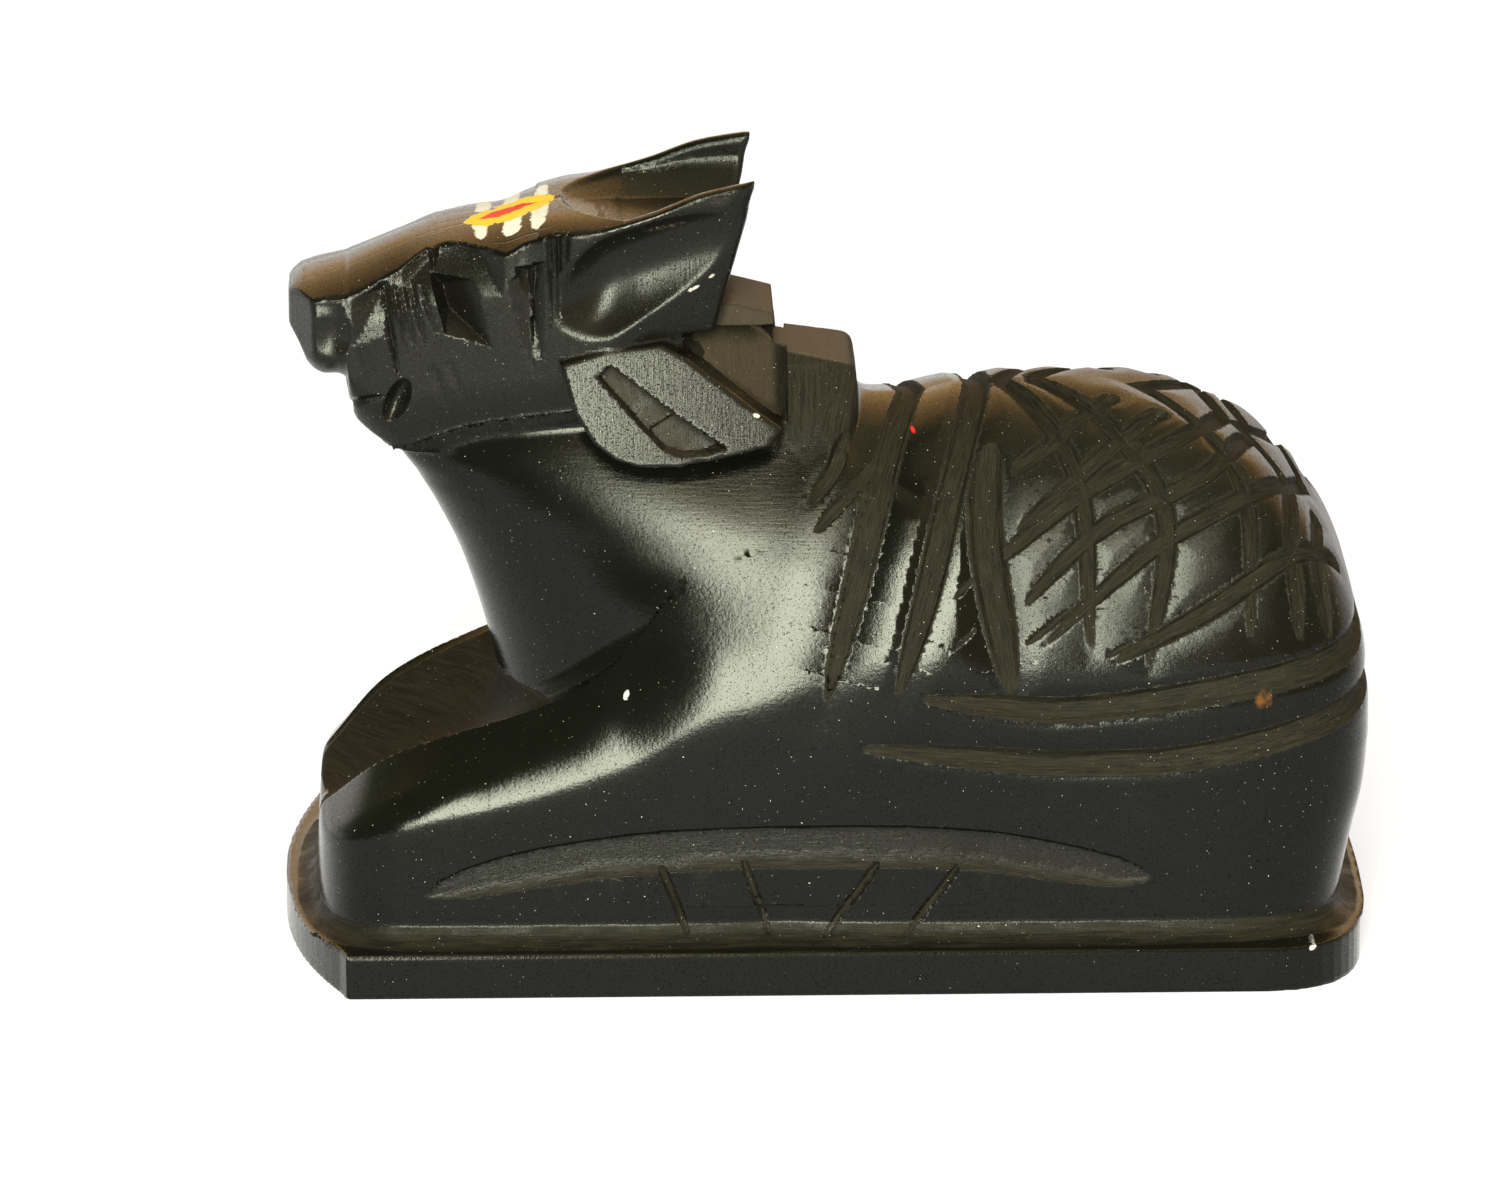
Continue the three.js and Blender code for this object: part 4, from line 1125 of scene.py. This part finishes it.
# %% Brush strokes
YELLOW_STROKES = [([-35.1, -1.7], [-26.2, 0.7], 2.9, 2.8, 4)]
RED_STROKES = [([-33.7, -0.9], [-28.1, 0.1], 1.1, 0.9, 3)]
WHITE_STROKES = [
    # start, end, half width at the start and the end, bluntness
    ([-33.5, -1.5], [-33.45, -6.6], 0.95, 0.4, 8),
    ([-30.3, -1.5], [-30.5, -7.1], 0.85, 0.85, 12),
    ([-27.7, -0.8], [-27.9, -8.1], 0.95, 0.6, 8),
    ([-33.3, 1.5], [-33.1, 7], 0.8, 0.7, 12),
    ([-30.6, 1.5], [-30.3, 7], 0.75, 0.7, 12),
    ([-27.7, 1.5], [-27.4, 5.8], 0.7, 0.6, 12),
]
SCRATCHES = [
    ([-40.2, -2.4], [-34.6, -1.6], 0.14, 0.3, 6),
    ([-38.2, -0.2], [-34.4, 0.3], 0.12, 0.26, 6),
    ([-27.2, -1.6], [-25.2, -0.4], 0.24, 0.1, 6),
    ([-27.2, 0.3], [-24.6, 3.0], 0.24, 0.1, 6),
    ([-32.6, -7.6], [-26.6, -8.8], 0.1, 0.16, 6),
]
CHIPS = [  # on the near side, in millimetres along and up
    ([-19.9, 28.5], [-19.6, 29.4], 0.24, 0.1, 4),
    ([46.4, 4.1], [47.1, 4.3], 0.2, 0.2, 4),
    ([-13.5, 66.9], [-12.5, 67.3], 0.13, 0.08, 4),
    ([-11.5, 68.1], [-11, 68.4], 0.1, 0.06, 4),
    ([-7.4, 55.3], [-6.7, 55.2], 0.16, 0.1, 4),
]
RED_DOT = [([8.2, 52.15], [8.4, 52.4], 0.22, 0.2, 4)]
STAIN = [([41.2, 28.4], [42.7, 28.7], 0.35, 0.3, 3)]


def brushed(x, y, strokes, ragged, soft=0.12):
    """How much of a point is covered by strokes."""
    cover = None
    for (x0, y0), (x1, y1), first, last, blunt in strokes:
        length = math.hypot(x1 - x0, y1 - y0)
        ax, ay = (x1 - x0) / length, (y1 - y0) / length
        along = (x * ax + y * ay - (x0 * ax + y0 * ay)) * (1 / length)
        across = (y * ax - x * ay - (y0 * ax - x0 * ay)).magnitude()
        ends = ((along * 2 - 1).magnitude()).power(blunt)
        half = (along * (last - first) + first).most(0.05) * (1 - ends)
        mark = (half - across + ragged).step(-soft, soft)
        cover = mark if cover is None else cover.most(mark)
    return cover


# %% [markdown]
# The stone is nearly black and takes a wax polish, so most of its look is reflection. The polish
# is never quite even: it has a fine grain, hair scratches and pinholes. Where the chisel or the
# file had the last word, the stone is matt, brownish and striated along the tool's way. So the
# surface is a mix of two shaders, one polished and one dull, and a mask says which one shows.

# %% Stone
WAXED_STONE_IOR = 1.29


def stone_material():
    material = bpy.data.materials.new("polished_black_stone")
    material.use_nodes = True
    nodes = Nodes(material.node_tree)
    place = nodes.add("ShaderNodeTexCoord", output=3)
    x, y, z = [part * (1 / MILLIMETRE) for part in nodes.split(place)]
    rough, shelter, exposure = [nodes.attribute(name) for name in ("rough", "shelter", "exposure")]
    across, along = nodes.attribute("across"), nodes.attribute("along")

    mottle = nodes.noise(place, 260, 4)
    grain = nodes.noise(place, 2600, 3, 0.7)
    pits = nodes.noise(place, 6500, 2, 0.5)
    dust = nodes.noise(place, 5200, 1, 0.5).step(0.77, 0.81)
    strokes = nodes.noise(nodes.vector(across * 8, along * 0.3, rough), 1.0, 3, 0.65)
    hairs = nodes.noise(nodes.vector(x * 0.3, y * 0.3, z * 5), 1.0, 4, 0.7)

    filed = rough.step(POLISHED, 0.3)
    chiselled = (rough + (mottle - 0.5) * 0.3).step(0.4, 0.62)
    facing_up = nodes.split(nodes.add("ShaderNodeNewGeometry", output=1))[2].step(0.62, 0.97)
    throat = z.step(39, 43) * z.step(55, 51) * x.step(6, 2)
    on_hump = x.step(4.5, 3) * z.step(48, 54)
    # Partly dust and partly painted light: the hump's upward faces are painted lighter and browner,
    # standing in for light from above, and its front gets a small even share of dust.
    hump_dust_and_top_light = on_hump * (facing_up * 0.8).most(x.step(-4.6, -5.4) * 0.3)
    on_cloth = x.step(13, 18) * z.step(31, 38)

    black = nodes.mix(mottle, colour(3, 3, 2), colour(8, 8, 6))
    floor_tone = nodes.mix(strokes.step(0.3, 0.7), colour(17, 15, 12), colour(37, 34, 25))
    dust_and_top_light_tone = nodes.mix(grain, colour(58, 49, 39), colour(92, 79, 64))
    cut_tone = nodes.mix(hump_dust_and_top_light, floor_tone, dust_and_top_light_tone)
    base = nodes.mix(filed * 0.5, black, colour(18, 17, 14))
    base = nodes.mix(chiselled, base, cut_tone)
    pitted = pits.step(0.58, 0.65)
    base = nodes.mix(shelter.step(0.35, 0.95) * 0.5, base, colour(14, 13, 10))
    # Painted shade: the stone between the folded forelegs is darkened towards near black, where
    # shade falls between the legs.
    painted_shade_between_legs = x.step(-19, -24) * z.step(28, 26) * z.step(12.6, 13)
    base = nodes.mix(painted_shade_between_legs * 0.45, base, colour(6, 6, 3))
    worn = exposure.step(0.85, 1.0) * grain.step(0.45, 0.65) * 0.4 * (1 - chiselled)
    base = nodes.mix(worn, base, colour(84, 80, 68))
    base = nodes.mix(dust * 0.8, base, colour(190, 186, 172))
    gloss = 0.07 + 0.06 * mottle + 0.05 * grain + filed * 0.1 + throat * 0.04 + on_cloth * 0.18
    roughness = gloss + chiselled * 0.3 + worn * 0.1

    wobble = (grain - 0.5) * 0.5
    ragged = (nodes.noise(place, 1100, 2) - 0.5) * 2.4
    white = brushed(x, y, WHITE_STROKES, wobble + ragged * 0.25) * (0.75 + grain * 0.4)
    yellow = brushed(x, y, YELLOW_STROKES, ragged)
    red = brushed(x, y, RED_STROKES, ragged * 0.5)
    on_top = z.step(68, 69.5)
    thin_scratch = brushed(x, y, SCRATCHES, 0.0, 0.05) * on_top
    painted = white.most(yellow) * on_top
    paint = nodes.mix(yellow, colour(200, 197, 180), colour(214, 168, 18))
    paint = nodes.mix(red, paint, colour(184, 26, 11))
    base = nodes.mix(thin_scratch, base, colour(12, 10, 8))
    base = nodes.mix(painted, base, paint)
    near_side = y.step(-1, -2)
    for strokes_there, unevenness, soft, share, tint in (
        (CHIPS, wobble, 0.12, 1, colour(205, 203, 190)),
        (RED_DOT, 0.0, 0.12, 1, colour(215, 30, 22)),
        (STAIN, ragged, 0.6, 0.35, colour(140, 88, 34)),
    ):
        cover = brushed(x, z, strokes_there, unevenness, soft) * near_side * share
        base = nodes.mix(cover, base, tint)
    roughness = nodes.add(
        "ShaderNodeMix", {"data_type": "FLOAT"}, {0: painted, 2: roughness, 3: 0.5}
    )

    height = grain * 0.4 + mottle * 0.25 + hairs * (0.12 + throat * 0.5) - pitted * filed * 0.5
    height = height + filed * (strokes * 0.5) + chiselled * (strokes * 2.6 + grain)
    height = height + painted * 0.8 - thin_scratch * 1.5
    bump = nodes.add(
        "ShaderNodeBump", None, {"Strength": 0.3, "Distance": 0.00012, "Height": height}
    )
    stone_light = {"Base Color": base, "Normal": bump, "IOR": WAXED_STONE_IOR}
    polished, dull = [
        nodes.add("ShaderNodeBsdfPrincipled", None, {**stone_light, **finish})
        for finish in ({"Roughness": roughness}, {"Roughness": 0.7, "Specular IOR Level": 0.1})
    ]
    dullness = (chiselled * 0.85).most(pitted * 0.75).most(shelter.step(0.55, 1.0) * 0.6)
    dullness = dullness * (1 - painted)
    surface = nodes.add("ShaderNodeMixShader", None, {0: dullness, 1: polished, 2: dull})
    nodes.add("ShaderNodeOutputMaterial", None, {"Surface": surface})
    return material


stone.data.materials.append(stone_material())
print("stone finished with", len(stone.data.materials[0].node_tree.nodes), "nodes")

# %% [markdown]
# A black polished thing shows its surroundings. In the photograph a tall soft box stands beside
# the camera, a little to its left, the far side of the room is warm and brown, and the left side is
# dark. The world shows the camera a white backdrop, and shows that room to the reflections.

# %% Floor, world and lights
floor_material = bpy.data.materials.new("pale_floor")
floor_material.use_nodes = True
floor_nodes = Nodes(floor_material.node_tree)
floor_surface = floor_nodes.add(
    "ShaderNodeBsdfPrincipled",
    None,
    {
        "Base Color": (0.35, 0.35, 0.36, 1),
        "Roughness": 0.8,
        "Emission Color": (1, 1, 1, 1),
        "Emission Strength": 0.6,
    },
)
floor_nodes.add("ShaderNodeOutputMaterial", None, {"Surface": floor_surface})
FLOOR_HALF = 1.5
floor = mesh_object(
    "floor",
    [(sx * FLOOR_HALF, sy * FLOOR_HALF, 0) for sx, sy in ((-1, -1), (1, -1), (1, 1), (-1, 1))],
    [(0, 1, 2, 3)],
)
floor.data.materials.append(floor_material)

world = bpy.data.worlds.new("studio")
bpy.context.scene.world = world
world.use_nodes = True
sky = Nodes(world.node_tree)
sideways, forward, upward = sky.split(sky.add("ShaderNodeTexCoord", output=0))
right_side = sideways.step(-0.35, 0.15)
overhead = upward.step(0.55, 0.85)
right_room = sky.mix(overhead, (0.75, 0.63, 0.3, 1), (1.4, 1.2, 0.6, 1))
left_room = sky.mix(upward.step(0.9, 1), (0.3, 0.33, 0.2, 1), (1.4, 1.2, 0.6, 1))
room = sky.mix(right_side, left_room, right_room)
behind = forward.step(0.1, 0.6)
warm = behind * upward.step(0.95, 0.7) * sideways.step(-0.62, -0.38)
room = sky.mix(warm, room, (2.0, 1.18, 0.46, 1))
room = sky.mix(behind * upward.step(0.36, 0.08), room, (1.7, 1.66, 1.55, 1))
room = sky.mix(upward.step(0.02, -0.02), room, (0.9, 0.9, 0.88, 1))
diffuse = sky.add("ShaderNodeLightPath", output=2)
room = sky.mix(diffuse, room, (0.6, 0.59, 0.68, 1))
seen = sky.add("ShaderNodeLightPath", output=0)
shown = sky.mix(seen, room, (1, 1, 1, 1))
backdrop = sky.add("ShaderNodeBackground", None, {"Color": shown, "Strength": 1.0})
sky.add("ShaderNodeOutputWorld", None, {"Surface": backdrop})


LAMP_DISTANCE = 1.6
LAMP_AIM = Vector((0, 0, 0.03))


def soft_box(name, azimuth, elevation, size, radiance, tint):
    """An area light that faces the stone. Azimuth 0 stands on the camera's side."""
    a, e = math.radians(azimuth), math.radians(elevation)
    way = Vector((math.sin(a) * math.cos(e), -math.cos(a) * math.cos(e), math.sin(e)))
    lamp = bpy.data.lights.new(name, "AREA")
    lamp.shape = "RECTANGLE"
    lamp.size, lamp.size_y = size
    lamp.energy = radiance * 4 * size[0] * size[1]
    lamp.color = tint
    held = bpy.data.objects.new(name, lamp)
    held.location = LAMP_AIM + way * LAMP_DISTANCE
    held.rotation_mode = "QUATERNION"
    held.rotation_quaternion = way.to_track_quat("Z", "Y")
    bpy.context.scene.collection.objects.link(held)


soft_box("key", -6.8, 20, (0.46, 1.16), 31, (0.97, 1.0, 0.78))
soft_box("key_top", -3, 48, (0.5, 0.36), 8, (1.0, 1.0, 0.7))

# %% [markdown]
# The photograph was taken from nearly square on, a little above, with a long lens. The camera
# stands 17.5 degrees above the level of the stone, and 1.5 degrees round to the left.

# %% Camera
AIM = Vector((-0.007289, 0, 0.032834))
CAMERA = {"azimuth": -1.5, "elevation": 17.5, "distance": 1.0}
SENSOR = 36.0
PIXELS_WIDE = 1500
PIXELS_PER_METRE = 10161.786  # at the distance of the aim

a, e = math.radians(CAMERA["azimuth"]), math.radians(CAMERA["elevation"])
back = Vector((math.sin(a) * math.cos(e), -math.cos(a) * math.cos(e), math.sin(e)))
lens = bpy.data.cameras.new("camera")
lens.sensor_width = SENSOR
lens.lens = SENSOR * PIXELS_PER_METRE * CAMERA["distance"] / PIXELS_WIDE
camera = bpy.data.objects.new("camera", lens)
camera.location = AIM + back * CAMERA["distance"]
camera.rotation_mode = "QUATERNION"
camera.rotation_quaternion = back.to_track_quat("Z", "Y")
bpy.context.scene.collection.objects.link(camera)
bpy.context.scene.camera = camera
bpy.context.scene.view_settings.view_transform = "Standard"
print("lens of", round(lens.lens, 1), "mm")
